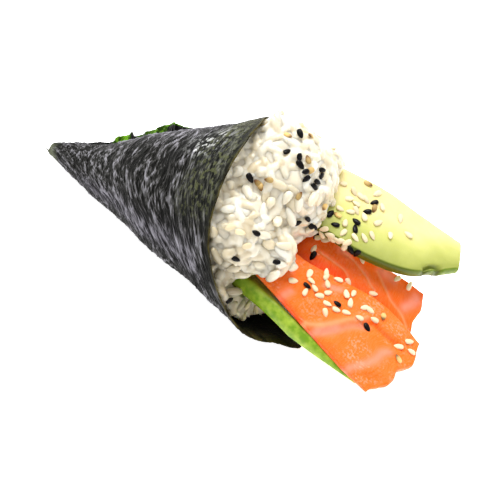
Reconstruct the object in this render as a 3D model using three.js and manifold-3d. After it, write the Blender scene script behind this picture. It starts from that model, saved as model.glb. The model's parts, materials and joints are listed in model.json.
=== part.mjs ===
// A temaki hand roll lying on its side: a cone of seaweed round rice, two slices of salmon and two of avocado.
// Millimetres, +Z up. The cone's tip points to -X and its mouth to +X. The roll rests on a flat strip of its
// underside, and the origin is on the table under the middle of its length and width.
// Every place below is given from the cone's tip: X along the table, Y to the roll's far side, Z up.
import * as THREE from "three";
import Module from "manifold-3d";
import { mergeVertices } from "three/addons/utils/BufferGeometryUtils.js";

const wasm = await Module();
wasm.setup();

const degrees = THREE.MathUtils.degToRad;

// ---- Driving dimensions ----

const MIDDLE_FROM_TIP = { x: 84.1, y: 2.35 }; // the middle of the whole roll's length and width

const CONE_HALF_ANGLE = degrees(16.75); // the axis tilts by as much, so the underside lies flat
const UNDERSIDE_DROP = 1; // how far the round underside is pressed flat
const SHEET_WALL = 1.1; // the wrapped layers of seaweed
const SHEET_OVERLAP = 0.7; // how far the outer layer stands proud of the one under it
const SHEET_EDGE_ANGLE = degrees(58); // where round the cone the outer layer ends
const CAVITY_START = 14; // along the axis, where the wrapped tip opens into the filled space
const GAP = 0.35; // clearance between neighbouring solids

// How far along the axis the rim reaches, at even angles round the cone from its far side over the top.
const RIM_REACH = [
  111, 108, 102, 109, 116.5, 119.5, 119.8, 119.5,
  123, 126.5, 126, 125.5, 122, 119.5, 116, 113,
];
const RIM_CORNERS = [
  { angle: degrees(30), height: 3, spread: degrees(7) },
  { angle: degrees(249), height: 4.5, spread: degrees(9) },
];
const LIP_LIFT = { angle: degrees(236), height: 1.8, spread: degrees(24), from: 110, to: 123 };

const TIP_HEIGHT = 2.6; // of the very tip above the table
// How far the top stands above a straight cone and how far the flanks are inside it: [reach along the axis, how far].
const TOP_RISE = [
  [0, 0], [8, 3.8], [16, 2.8], [26, 1.3], [36, 0.1], [48, 0.1], [60, 1.3], [84, 0.6], [96, 0.5], [112, 1.1],
];
const FLANK_PINCH = [
  [0, 1.4], [8, 0.5], [18, -0.2], [36, -0.2], [48, 0.2], [60, 0.4], [72, -0.4], [84, 0.2], [96, 1.6],
  [106, 0.9], [128, 0.5],
];

// The torn corner of the sheet that stands off the cone behind its top: [reach along the axis, height] of its top.
const FRILL = { angle: degrees(60), thickness: 1 };
const FRILL_TOP = [
  [36, 0.4], [38.6, 1.6], [43, 2], [45.8, 2.6], [47.2, 1], [52, 1.6], [58, 1.7], [62.7, 2.5], [64.3, 3],
  [66.5, 2.1], [70, 0.7], [72, 0.3],
];

// The fillings. Each has the two edges of its upper face from the hidden end to the shown one, its thickness at the
// left edge, in the middle and at the right edge, how high its upper face is crowned, the share of the thickness
// left at its two ends, and the outline of its shown end: [share across, how far it is drawn back].
const SALMON_FRONT = {
  left: [
    [74, -9, 27], [100, -15.5, 32], [122, -19.8, 31],
    [138, -20.4, 24.4], [152, -20, 17.2], [167.4, -19.8, 10.8],
  ],
  right: [
    [74, 6, 28], [100, 2, 33], [126, -5, 30.4],
    [139, 1.5, 23.8], [150, 6.8, 18.4], [168.8, 7.4, 9.1],
  ],
  thickness: [1.8, 6.4, 2.4],
  crown: 0.8,
  ends: [0.5, 0.6],
  shownEnd: [[0, 3.4], [0.3, 0.4], [0.5, 1.8], [0.7, 0], [1, 3.1]],
};
const SALMON_BACK = {
  left: [
    [76, -7, 20.5], [100, -6, 24], [126, -6, 23.5],
    [140, -2, 17.6], [152, 1, 11.8], [162.6, 3, 8],
  ],
  right: [
    [76, 7, 22], [100, 8, 27], [124.6, 8.5, 31],
    [134, 10.2, 27.7], [145.2, 17, 22], [157.4, 23, 14.6],
  ],
  thickness: [2.4, 5.6, 2],
  crown: 0.6,
  ends: [0.5, 0.45],
  shownEnd: [[0, 1.2], [0.17, 0], [0.5, 1.6], [0.75, 0.3], [1, 1.5]],
};
const AVOCADO_NEAR = {
  left: [
    [84, -12, 26], [100, -18, 28.6], [116, -21, 28.8],
    [131, -21, 25.4], [146, -20.4, 18.4], [160.4, -19.4, 11.6],
  ],
  right: [
    [84, -6, 20], [100, -3, 17], [116, -1.5, 14],
    [131, -2.5, 11.4], [146, -8, 10], [160, -18.2, 10.6],
  ],
  thickness: [5.2, 6.2, 3],
  crown: 0,
  ends: [0.5, 0.1],
  shownEnd: [[0, 0], [1, 0]],
};
const AVOCADO_FAR = {
  left: [
    [97, 5, 47], [112, 2.6, 43], [128.4, 5.4, 36.6],
    [140, 9.4, 32.4], [152, 17, 28.4], [161.6, 31.6, 25],
  ],
  right: [
    [96, 15, 48], [106, 19.5, 47.4], [117, 23, 45],
    [130, 29.5, 39.6], [143, 34.6, 32.8], [156.8, 39.8, 26],
  ],
  thickness: [4.2, 7, 6],
  crown: 0,
  ends: [0.5, 0.8],
  shownEnd: [[0, 0], [1, 0]],
};
const SLICE_STATIONS = 18; // along each slice
const SLICE_COLUMNS = 7; // across its upper and its lower face

// The heaped rice: overlapping lumps by centre and radii, the first of them the dome.
const RICE_LUMPS = [
  { at: [106, 4, 42.3], radii: [19.6, 21, 21.6], detail: 6 },
  { at: [102.6, 6.6, 62.4], radii: [5, 5.2, 4.8], detail: 2 },
  { at: [116, 19, 48], radii: [5.3, 5.3, 5.3], detail: 2 },
  { at: [111, -17, 40], radii: [12, 14, 15], detail: 4 },
  { at: [109, -25, 20], radii: [10.5, 9, 10.5], detail: 3 },
  { at: [121.4, -14.5, 36.3], radii: [7.5, 7.5, 8.5], detail: 2 },
  { at: [110, 14, 22], radii: [10, 13, 12], detail: 3 },
];
const RICE_FLARE = { angle: degrees(75), height: 3.6, spread: degrees(40) }; // where it may bulge past the rim
const RICE_RELIEF = 0.9; // height of the grains' unevenness
// How far the packed rice inside ends before the rim: a little all round, and more in the hollow at the bottom.
const RICE_RECESS = 3;
const RICE_HOLLOW = { angle: degrees(262), depth: 12, spread: degrees(44) };

// ---- The cone's surface ----

const AXIS = new THREE.Vector3(Math.cos(CONE_HALF_ANGLE), 0, Math.sin(CONE_HALF_ANGLE));
const SIDE = new THREE.Vector3(0, 1, 0);
const UP = new THREE.Vector3(-Math.sin(CONE_HALF_ANGLE), 0, Math.cos(CONE_HALF_ANGLE));
const FULL_TURN = 2 * Math.PI;

const vector = (list) => new THREE.Vector3(...list);
const onAxis = (reach) => AXIS.clone().multiplyScalar(reach);
const bell = (distance, spread) => Math.exp(-((distance / spread) ** 2));
const angleBetween = (one, other) => Math.atan2(Math.sin(one - other), Math.cos(one - other));
const shareOfTurn = (angle) => THREE.MathUtils.euclideanModulo(angle / FULL_TURN, 1);

function rimReach(angle) {
  const count = RIM_REACH.length;
  const place = shareOfTurn(angle) * count;
  const first = Math.floor(place);
  const reachAt = (step) => RIM_REACH[(first + step + count) % count];
  const nearby = [-1, 0, 1, 2].map((step) => new THREE.Vector3(step, reachAt(step), 0));
  const even = new THREE.CatmullRomCurve3(nearby).getPoint((1 + place - first) / 3).y;
  return RIM_CORNERS.reduce((reach, { angle: at, height, spread }) =>
    reach + height * bell(angleBetween(angle, at), spread), even);
}

// The value at a place in a profile of [place, value] steps, eased between them.
function profileAt(place, profile) {
  const ahead = profile.findIndex(([at]) => at > place);
  if (ahead < 0) return profile.at(-1)[1];
  const [[start, before], [end, after]] = [profile[ahead - 1], profile[ahead]];
  return THREE.MathUtils.lerp(before, after, THREE.MathUtils.smoothstep(place, start, end));
}

// A point of the wall: reach along the axis, angle round it, inset inwards from the outside.
function conePoint(reach, angle, inset) {
  const fromTip = Math.min(1, reach / CAVITY_START);
  const underLayer = SHEET_OVERLAP * (1 - shareOfTurn(angle - SHEET_EDGE_ANGLE)) * fromTip;
  const radius = Math.max(0, reach * Math.tan(CONE_HALF_ANGLE) - (inset > 0 ? inset : underLayer));
  const halfWidth = Math.max(0.4 * radius, radius - profileAt(reach, FLANK_PINCH));
  const height = radius * Math.sin(angle) + (profileAt(reach, TOP_RISE) * (1 + Math.sin(angle))) / 2;
  const point = onAxis(reach);
  point.addScaledVector(SIDE, halfWidth * Math.cos(angle));
  point.addScaledVector(UP, height);
  point.z += LIP_LIFT.height * bell(angleBetween(angle, LIP_LIFT.angle), LIP_LIFT.spread)
    * THREE.MathUtils.smoothstep(reach, LIP_LIFT.from, LIP_LIFT.to);
  point.z = Math.max(point.z - UNDERSIDE_DROP, inset);
  return point;
}

function ringAround(count, pointAt) {
  return Array.from({ length: count }, (_, step) => pointAt((step / count) * FULL_TURN));
}

function coneRing(shareOfRim, inset, count) {
  return ringAround(count, (angle) => conePoint(shareOfRim * rimReach(angle), angle, inset));
}

// ---- Solids ----

// A closed skin over a row of rings with equal counts of points, ended by rings of one point.
function skinOver(rings) {
  const faces = [];
  let start = 0;
  for (let index = 0; index + 1 < rings.length; index++) {
    const [ring, next] = [rings[index], rings[index + 1]];
    const nextStart = start + ring.length;
    for (let step = 0; step < Math.max(ring.length, next.length); step++) {
      const here = start + (step % ring.length);
      const beside = start + ((step + 1) % ring.length);
      const ahead = nextStart + (step % next.length);
      const aheadBeside = nextStart + ((step + 1) % next.length);
      if (ring.length > 1) faces.push(here, beside, ahead);
      if (next.length > 1) faces.push(ahead, beside, aheadBeside);
    }
    start = nextStart;
  }
  const geometry = new THREE.BufferGeometry().setFromPoints(rings.flat());
  geometry.setIndex(faces);
  return solidOf(geometry);
}

function solidOf(geometry) {
  const bare = geometry.clone();
  bare.deleteAttribute("normal");
  bare.deleteAttribute("uv");
  const merged = mergeVertices(bare, 1e-4);
  const vertProperties = new Float32Array(merged.attributes.position.array);
  const triVerts = new Uint32Array(merged.index.array);
  const solid = new wasm.Manifold(new wasm.Mesh({ numProp: 3, vertProperties, triVerts }));
  return solid.volume() < 0 ? solidOf(turnedInsideOut(merged)) : solid;
}

function turnedInsideOut(geometry) {
  const index = geometry.index.array;
  for (let face = 0; face < index.length; face += 3) {
    [index[face], index[face + 1]] = [index[face + 1], index[face]];
  }
  return geometry;
}

function geometryOf(solid) {
  const { vertProperties, triVerts, numProp } = solid.getMesh();
  const corners = Array.from({ length: vertProperties.length / numProp }, (_, corner) =>
    new THREE.Vector3().fromArray(vertProperties, corner * numProp));
  const geometry = new THREE.BufferGeometry().setFromPoints(corners);
  geometry.setIndex(Array.from(triVerts));
  geometry.computeVertexNormals();
  return geometry;
}

// The same shape with every vertex moved outwards, for cutting its place and the gap round it into a neighbour.
function grown(solid) {
  const geometry = geometryOf(solid);
  const { position, normal } = geometry.attributes;
  for (let corner = 0; corner < position.count; corner++) {
    const moved = new THREE.Vector3().fromBufferAttribute(position, corner);
    moved.addScaledVector(new THREE.Vector3().fromBufferAttribute(normal, corner), GAP);
    position.setXYZ(corner, moved.x, moved.y, moved.z);
  }
  return solidOf(geometry);
}

function cutClearOf(solid, neighbours) {
  const rest = neighbours.reduce((left, neighbour) => left.subtract(grown(neighbour)), solid);
  return rest.decompose().reduce((best, body) => (body.volume() > best.volume() ? body : best));
}

function middleOf(points) {
  return points.reduce((sum, point) => sum.add(point), new THREE.Vector3()).divideScalar(points.length);
}

// ---- The seaweed cone ----

function seaweedCone() {
  const count = 48;
  const outside = [0.025, 0.05, 0.09, 0.15, 0.22, 0.3, 0.38, 0.46, 0.55, 0.64, 0.73, 0.82, 0.91, 1];
  const inside = [1, 0.85, 0.7, 0.55, 0.4, 0.25, 0.15];
  return skinOver([
    [new THREE.Vector3(0, 0, TIP_HEIGHT)],
    ...outside.map((share) => coneRing(share, 0, count)),
    ...inside.map((share) => coneRing(share, SHEET_WALL, count)),
    [onAxis(CAVITY_START)],
  ]).add(frill());
}

function frill() {
  const first = FRILL_TOP[0][0];
  const last = FRILL_TOP.at(-1)[0];
  const slant = 1 / Math.cos(CONE_HALF_ANGLE);
  const root = -0.7 * SHEET_WALL;
  const outline = new THREE.Shape();
  outline.moveTo(0, root);
  for (const [reach, height] of FRILL_TOP) outline.lineTo((reach - first) * slant, height);
  outline.lineTo((last - first) * slant, root);
  const plate = new THREE.ExtrudeGeometry(outline, { depth: FRILL.thickness, bevelEnabled: false });
  const start = conePoint(first, FRILL.angle, 0);
  const along = conePoint(last, FRILL.angle, 0).sub(start).normalize();
  const outwards = start.clone().sub(onAxis(AXIS.dot(start)));
  outwards.addScaledVector(along, -outwards.dot(along)).normalize();
  const across = new THREE.Vector3().crossVectors(along, outwards);
  plate.applyMatrix4(new THREE.Matrix4().makeBasis(along, outwards, across).setPosition(start));
  return solidOf(plate);
}

// ---- The fillings ----

// A slab hung under an upper face that is stretched between two edge curves, with rounded sides.
function slice({ left, right, thickness, crown, ends, shownEnd }) {
  const leftEdge = new THREE.CatmullRomCurve3(left.map(vector), false, "centripetal");
  const rightEdge = new THREE.CatmullRomCurve3(right.map(vector), false, "centripetal");
  const depth = new THREE.CatmullRomCurve3(thickness.map((value, step) => new THREE.Vector3(step, value, 0)));
  const upperFace = (along, across) => {
    const point = leftEdge.getPoint(along).lerp(rightEdge.getPoint(along), across);
    point.z += crown * (1 - (2 * across - 1) ** 2);
    return point;
  };
  const rings = [];
  for (let station = 0; station <= SLICE_STATIONS; station++) {
    const along = station / SLICE_STATIONS;
    const fullness = Math.min(1, ends[0] + 3 * along, ends[1] + 3 * (1 - along));
    const down = new THREE.Vector3().crossVectors(
      upperFace(along, 1).sub(upperFace(along, 0)),
      upperFace(Math.min(1, along + 0.02), 0.5).sub(upperFace(Math.max(0, along - 0.02), 0.5)),
    ).normalize();
    const upper = [];
    const lower = [];
    for (let column = 0; column < SLICE_COLUMNS; column++) {
      const across = column / (SLICE_COLUMNS - 1);
      const drawnBack = (profileAt(across, shownEnd) / leftEdge.getLength()) * along ** 3;
      const point = upperFace(along * (1 - drawnBack), across);
      upper.push(point);
      lower.push(point.clone().addScaledVector(down, fullness * depth.getPoint(across).y));
    }
    const leftSide = roundedSide(upper[0], lower[0], upper[1]);
    const rightSide = roundedSide(upper.at(-1), lower.at(-1), upper.at(-2));
    rings.push([...upper, rightSide, ...lower.reverse(), leftSide]);
  }
  return skinOver([[middleOf(rings[0])], ...rings, [middleOf(rings.at(-1))]]);
}

// The outermost point of a side between an upper and a lower corner, pushed away from the inner point.
function roundedSide(upper, lower, inner) {
  const outwards = upper.clone().sub(inner).normalize();
  return upper.clone().lerp(lower, 0.5).addScaledVector(outwards, 0.3 * upper.distanceTo(lower));
}

// ---- The rice ----

function unevenness({ x, y, z }) {
  const crossed = Math.sin(1.05 * x + 1.7 * Math.sin(0.5 * y)) * Math.sin(0.95 * y + 0.6 * z);
  return RICE_RELIEF * (crossed + 0.6 * Math.sin(0.8 * z + 1.3 * Math.sin(0.6 * x)));
}

function riceLump({ at, radii, detail }) {
  const geometry = new THREE.IcosahedronGeometry(1, detail);
  const { position } = geometry.attributes;
  for (let corner = 0; corner < position.count; corner++) {
    const outwards = new THREE.Vector3().fromBufferAttribute(position, corner);
    const point = outwards.clone().multiply(vector(radii)).add(vector(at));
    point.addScaledVector(outwards, unevenness(point));
    position.setXYZ(corner, point.x, point.y, point.z);
  }
  return solidOf(geometry);
}

function riceHeap(neighbours) {
  const count = 30;
  const inset = SHEET_WALL + 2 * GAP;
  const start = [onAxis(CAVITY_START + 3)];
  const packedTo = (angle) => {
    const hollow = RICE_HOLLOW.depth * bell(angleBetween(angle, RICE_HOLLOW.angle), RICE_HOLLOW.spread);
    return rimReach(angle) - RICE_RECESS - hollow;
  };
  const packed = [0.2, 0.4, 0.6, 0.8, 1].map((share) =>
    ringAround(count, (angle) => conePoint(share * packedTo(angle), angle, inset)));
  const inCone = skinOver([start, ...packed, [middleOf(packed.at(-1))]]);
  // The lumps may bulge out of the mouth but, below its top, not wider than the cone's inside carried on.
  const roomRing = (pastRim, flared) => ringAround(count, (angle) => {
    const flare = flared * RICE_FLARE.height * bell(angleBetween(angle, RICE_FLARE.angle), RICE_FLARE.spread);
    const point = conePoint(rimReach(angle) + pastRim, angle, inset);
    return point.addScaledVector(SIDE, flare * Math.cos(angle)).addScaledVector(UP, flare * Math.sin(angle));
  });
  const room = skinOver([
    start, roomRing(-80, 0), roomRing(-40, 0), roomRing(1, 0), roomRing(4, 1), roomRing(30, 1), [onAxis(150)],
  ]);
  const lumps = RICE_LUMPS.map(riceLump).reduce((heap, lump) => heap.add(lump));
  return cutClearOf(inCone.add(lumps.intersect(room)), neighbours);
}

// ---- The roll ----

function piece(name, solid, color, roughness) {
  const look = new THREE.MeshStandardMaterial({ color, roughness, metalness: 0 });
  const mesh = new THREE.Mesh(geometryOf(solid), look);
  mesh.name = name;
  return mesh;
}

const cone = seaweedCone();
const salmonFront = slice(SALMON_FRONT);
const salmonBack = cutClearOf(slice(SALMON_BACK), [salmonFront]);
const avocadoNear = cutClearOf(slice(AVOCADO_NEAR), [salmonFront, salmonBack, cone]);
const avocadoFar = cutClearOf(slice(AVOCADO_FAR), [salmonFront, salmonBack, cone]);
const rice = riceHeap([cone, salmonFront, salmonBack, avocadoNear, avocadoFar]);

const roll = new THREE.Group();
roll.position.set(-MIDDLE_FROM_TIP.x, -MIDDLE_FROM_TIP.y, 0);
roll.add(
  piece("nori_cone", cone, 0x2f322c, 0.55),
  piece("rice_heap", rice, 0xeae6d8, 0.5),
  piece("salmon_slice_front", salmonFront, 0xf6935c, 0.35),
  piece("salmon_slice_back", salmonBack, 0xef6230, 0.35),
  piece("avocado_slice_near", avocadoNear, 0x86a233, 0.5),
  piece("avocado_slice_far", avocadoFar, 0xe3e59a, 0.5),
);

export default roll;
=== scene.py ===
"""A temaki hand roll: a cone of seaweed round rice, with salmon, avocado and sesame seeds.

Shapes are worked out in millimetres from the cone's tip, with X along the table to the mouth, Y to the roll's
far side and Z up, and go into the frame, in metres, when their mesh is made. Angles in tables are in degrees.
"""

import json
import math

import bmesh
import bpy
import numpy as np
from bpy.props import FloatProperty, FloatVectorProperty, IntProperty, PointerProperty
from mathutils import Matrix, Vector, noise
from mathutils.bvhtree import BVHTree

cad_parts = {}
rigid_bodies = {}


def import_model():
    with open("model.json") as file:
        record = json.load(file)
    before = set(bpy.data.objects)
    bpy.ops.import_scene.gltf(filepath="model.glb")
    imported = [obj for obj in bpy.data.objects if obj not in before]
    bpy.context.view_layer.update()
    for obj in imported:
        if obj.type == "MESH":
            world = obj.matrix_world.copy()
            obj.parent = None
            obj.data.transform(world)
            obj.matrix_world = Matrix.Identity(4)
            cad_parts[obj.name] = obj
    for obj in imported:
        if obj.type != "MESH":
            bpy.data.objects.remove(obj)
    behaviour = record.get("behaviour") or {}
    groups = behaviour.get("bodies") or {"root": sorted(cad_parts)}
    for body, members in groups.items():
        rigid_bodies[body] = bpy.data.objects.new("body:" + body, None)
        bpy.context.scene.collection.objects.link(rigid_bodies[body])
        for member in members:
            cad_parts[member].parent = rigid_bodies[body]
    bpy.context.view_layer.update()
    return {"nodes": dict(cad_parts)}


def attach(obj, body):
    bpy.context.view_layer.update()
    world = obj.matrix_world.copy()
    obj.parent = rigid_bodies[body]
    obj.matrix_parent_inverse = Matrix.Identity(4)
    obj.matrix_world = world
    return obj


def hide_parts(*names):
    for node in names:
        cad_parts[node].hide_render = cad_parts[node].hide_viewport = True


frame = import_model()

bl_info = {
    "name": "Temaki hand roll",
    "version": (1, 0, 0),
    "blender": (4, 5, 0),
    "location": "View3D > Sidebar > Temaki",
    "description": "Builds a hand roll of seaweed, rice, salmon, avocado and sesame seeds",
    "category": "Add Mesh",
}

MM = 0.001
FULL_TURN = 2 * math.pi
MIDDLE_FROM_TIP = np.array([84.1, 2.35, 0])  # the frame's origin, from the cone's tip
MAP_UNIT = 10  # how many millimetres one unit of a lengthwise map is

# The cone, as the frame has it.
CONE_HALF_ANGLE = math.radians(16.75)
UNDERSIDE_DROP = 1
SHEET_OVERLAP = 0.7
SHEET_EDGE_ANGLE = math.radians(58)
CAVITY_START = 14
TIP_HEIGHT = 2.6
RIM_REACH = (
    111, 108, 102, 109, 116.5, 119.5, 119.8, 119.5,
    123, 126.5, 126, 125.5, 122, 119.5, 116, 113,
)
RIM_CORNERS = ({"angle": 30, "height": 3, "spread": 7}, {"angle": 249, "height": 4.5, "spread": 9})
LIP_LIFT = {"angle": 236, "height": 1.8, "spread": 24, "over": (110, 123)}
# How far the top stands above a straight cone, and the flanks inside it: (reach along the axis, how far).
TOP_RISE = (
    (0, 0), (8, 3.8), (16, 2.8), (26, 1.3), (36, 0.1),
    (48, 0.1), (60, 1.3), (84, 0.6), (96, 0.5), (112, 1.1),
)
FLANK_PINCH = (
    (0, 1.4), (8, 0.5), (18, -0.2), (36, -0.2), (48, 0.2), (60, 0.4),
    (72, -0.4), (84, 0.2), (96, 1.6), (106, 0.9), (128, 0.5),
)
AXIS = np.array([math.cos(CONE_HALF_ANGLE), 0, math.sin(CONE_HALF_ANGLE)])
SIDE = np.array([0, 1, 0])
UP = np.array([-math.sin(CONE_HALF_ANGLE), 0, math.cos(CONE_HALF_ANGLE)])

WRAP_ROWS = 350
WRAP_COLUMNS = 250
WRAP_START = 0.025
LINING_ROWS = 24
LINING_START = 0.16
MEAN_RADIUS = 22
# The sheet's ridges: how far they lean, how many wrinkle spacings they are apart, their length, how steep
# and how sharp they are, their share of the height and the seed of their noise.
SHEET_RIDGES = (
    (0, 1, 8, 5, 1.4, 0.36, 5),
    (0.6, 0.7, 6, 5, 1, 0.26, 6),
    (-0.65, 0.7, 6, 5, 1, 0.24, 14),
    (0, 0.32, 3, 3, 1, 0.16, 7),
)
# Patches of the sheet: the angle round the cone, and the reach over which each comes and goes.
# Bands of painted sheen, where light grazes the sheet along its underside and along its top.
LOW_SHEEN = {"angle": 176, "spread": 13, "comes": (22, 40), "goes": (108, 116)}
TOP_SHEEN = {"angle": 70, "spread": 22, "comes": (30, 50), "goes": (88, 100)}
KHAKI = {"angle": 76, "spread": 15, "comes": (103.5, 107)}
GLINT = {"angle": 104, "spread": 11, "reach": 101, "length": 8}
THREADS_LEAN = {"angle": 190, "spread": 34, "reach": 14}
# The torn corner of the sheet that stands off the cone: (reach along the axis, height) of its top.
FRILL = {"angle": 60, "thickness": 0.35, "columns": 190, "rows": 12, "sunk": 0.6}
FRILL_TOP = (
    (36, 0.4), (38.6, 1.6), (43, 2), (45.8, 2.6), (47.2, 1), (52, 1.6),
    (58, 1.7), (62.7, 2.5), (64.3, 3), (66.5, 2.1), (70, 0.7), (72, 0.3),
)
# How green the frill is, along the axis.
FRILL_GREEN = (
    (36, 1), (45, 1), (45.8, 0), (47.5, 0), (48.5, 0.4), (56, 0.4), (57.5, 0.75), (62, 0.7), (63, 0), (72, 0),
)

# The fillings, as the frame has them: the two edges of the upper face from the hidden end to the shown one,
# the thickness at the left edge, in the middle and at the right edge, the crown, the fullness of the two ends
# and the outline of the shown end: (share across, how far it is drawn back).
SALMON_FRONT = {
    "left": (
        (74, -9, 27), (100, -15.5, 32), (122, -19.8, 31),
        (138, -20.4, 24.4), (152, -20, 17.2), (167.4, -19.8, 10.8),
    ),
    "right": (
        (74, 6, 28), (100, 2, 33), (126, -5, 30.4),
        (139, 1.5, 23.8), (150, 6.8, 18.4), (168.8, 7.4, 9.1),
    ),
    "thickness": (1.8, 6.4, 2.4),
    "crown": 0.8,
    "ends": (0.5, 0.6),
    "shown_end": ((0, 3.4), (0.3, 0.4), (0.5, 1.8), (0.7, 0), (1, 3.1)),
}
SALMON_BACK = {
    "left": (
        (76, -7, 20.5), (100, -6, 24), (126, -6, 23.5),
        (140, -2, 17.6), (152, 1, 11.8), (162.6, 3, 8),
    ),
    "right": (
        (76, 7, 22), (100, 8, 27), (124.6, 8.5, 31),
        (134, 10.2, 27.7), (145.2, 17, 22), (157.4, 23, 14.6),
    ),
    "thickness": (2.4, 5.6, 2),
    "crown": 0.6,
    "ends": (0.5, 0.45),
    "shown_end": ((0, 1.2), (0.17, 0), (0.5, 1.6), (0.75, 0.3), (1, 1.5)),
}
AVOCADO_NEAR = {
    "left": (
        (84, -12, 26), (100, -18, 28.6), (116, -21, 28.8),
        (131, -21, 25.4), (146, -20.4, 18.4), (160.4, -19.4, 11.6),
    ),
    "right": (
        (84, -6, 20), (100, -3, 17), (116, -1.5, 14),
        (131, -2.5, 11.4), (146, -8, 10), (160, -18.2, 10.6),
    ),
    "thickness": (5.2, 6.2, 3),
    "crown": 0,
    "ends": (0.5, 0.1),
    "shown_end": ((0, 0), (1, 0)),
}
AVOCADO_FAR = {
    "left": (
        (97, 5, 47), (112, 2.6, 43), (128.4, 5.4, 36.6),
        (140, 9.4, 32.4), (152, 17, 28.4), (161.6, 31.6, 25),
    ),
    "right": (
        (96, 15, 48), (106, 19.5, 47.4), (117, 23, 45),
        (130, 29.5, 39.6), (143, 34.6, 32.8), (156.8, 39.8, 26),
    ),
    "thickness": (4.2, 7, 6),
    "crown": 0,
    "ends": (0.5, 0.8),
    "shown_end": ((0, 0), (1, 0)),
}
FILLINGS = ("salmon_front", "salmon_back", "avocado_near", "avocado_far")
SLICE_STATIONS = 170
SLICE_COLUMNS = 56
SLICE_SIDE_STEPS = 7
SLICE_END_STEPS = 4
# How much the rounding of the shown end takes up.
SLICE_END_LENGTH = 0.9
SLICE_SCALE = np.array([94, 26])  # a slice's length and width where paths on it are measured

# Lines and patches on the two slices of salmon: (share along, share across) paths.
# The front slice's fold has a painted highlight along its crest.
FRONT_FOLD = ((0.63, 0), (0.67, 0.13), (0.72, 0.38), (0.77, 0.57), (0.79, 0.68))
# The line below the fold is sunk a little and painted pink as painted shade.
FRONT_SHADE = ((0.68, 0), (0.695, 0.06), (0.725, 0.2), (0.76, 0.4), (0.816, 0.57))
FRONT_GROOVE = ((0.8, 0.66), (0.836, 0.7), (0.889, 0.71), (0.942, 0.76))
# Pink patches, some of them painted highlights.
FRONT_PINK = (
    ((0.5, 0.05), (0.5, 0.2)),
    ((0.68, 0.1), (0.72, 0.3)),
    ((0.56, 0.74), (0.61, 0.82)),
    ((0.885, 0.03), (0.9, 0.2), (0.92, 0.4), (0.934, 0.55)),
)
# Deeper orange patches; the second path, along the left edge, is painted shade.
FRONT_DEEP = (((0.93, 0.12), (0.96, 0.22)), ((0.5, 0), (0.7, 0.01), (0.9, 0.02)))
BACK_LINES = (
    ((0.42, 0.61), (0.53, 0.62), (0.59, 0.61), (0.63, 0.5)),
    ((0.56, 0.9), (0.61, 0.9), (0.66, 0.81), (0.7, 0.72), (0.73, 0.63), (0.75, 0.59)),
    ((0.75, 0.9), (0.78, 0.78), (0.815, 0.67), (0.85, 0.58), (0.875, 0.55), (0.935, 0.49), (0.975, 0.37)),
)
BACK_PINK = (((0.52, 0.95), (0.58, 0.95)), ((0.77, 0.95), (0.83, 0.93)), ((0.93, 0.62), (0.97, 0.85)))
BACK_RED = (((0.38, 0.3), (0.48, 0.4), (0.58, 0.5)), ((0.6, 0.15), (0.7, 0.25), (0.8, 0.3)))
# Where the far avocado slice's outer edge is torn.
NICK = ((0.865, 0.02), (0.885, 0.06), (0.905, 0.05), (0.92, 0))

# Where grains low beside the seaweed get painted shade, and where loose grains lie on the imported ones: a
# place and how far round it.
SHADED_RICE = (((108, -28, 22), 13), ((106, -30, 36), 10))
LOOSE_RICE = (
    ((124, -17, 38), 9), ((110, -30, 22), 13), ((113, -29, 38), 10), ((112, -16, 54), 9), ((118, -2, 50), 9),
)
OPEN_DEPTH = 14  # how far behind the rim grains still lie
COVER_REACH = 4.5  # how near a filling hides the rice under it
CORE_DETAIL = 1.1
WALL_CLEARANCE = 0.1
GRAIN_KINDS = (
    {"bend": 0.0, "taper": 0.05, "length": 1.0},
    {"bend": 0.05, "taper": 0.15, "length": 0.88},
    {"bend": -0.04, "taper": 0.25, "length": 0.76},
    {"bend": 0.02, "taper": 0.35, "length": 0.62},
)
SMALLEST = 0.85  # the smallest grain or seed, as a share of its shape
GRAIN_TURNS = np.linspace(0, math.pi, 8)[1:-1]
GRAIN_RING = np.arange(9) / 9 * FULL_TURN
GRAIN_POINTS = len(GRAIN_TURNS) * len(GRAIN_RING) + 2
SEED_RING = np.arange(8) / 8 * FULL_TURN
# Opposite corners of the space over the rice's far side, and how many drops are tried there for each seed.
UNSEEN_SEED_AREA = ((98, 15, 90), (122, 40, 90))
UNSEEN_SEED_TRIES = 200
TURNED_AWAY = -0.5  # the rice faces the camera less than this where seeds are unseen
TURNED_UP = 0.02

# The camera, and where it sees each sesame seed: places in its frame, from the left and from the top.
FRAME_SIDE = 500
CAMERA_TARGET = np.array([104.93, -4.43, 20])
CAMERA_AZIMUTH = math.radians(37.16)
CAMERA_ELEVATION = math.radians(43.74)
CAMERA_DISTANCE = 350.68
CAMERA_ROLL = math.radians(4.43)
CAMERA_VIEW_ANGLE = math.radians(26)
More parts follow.
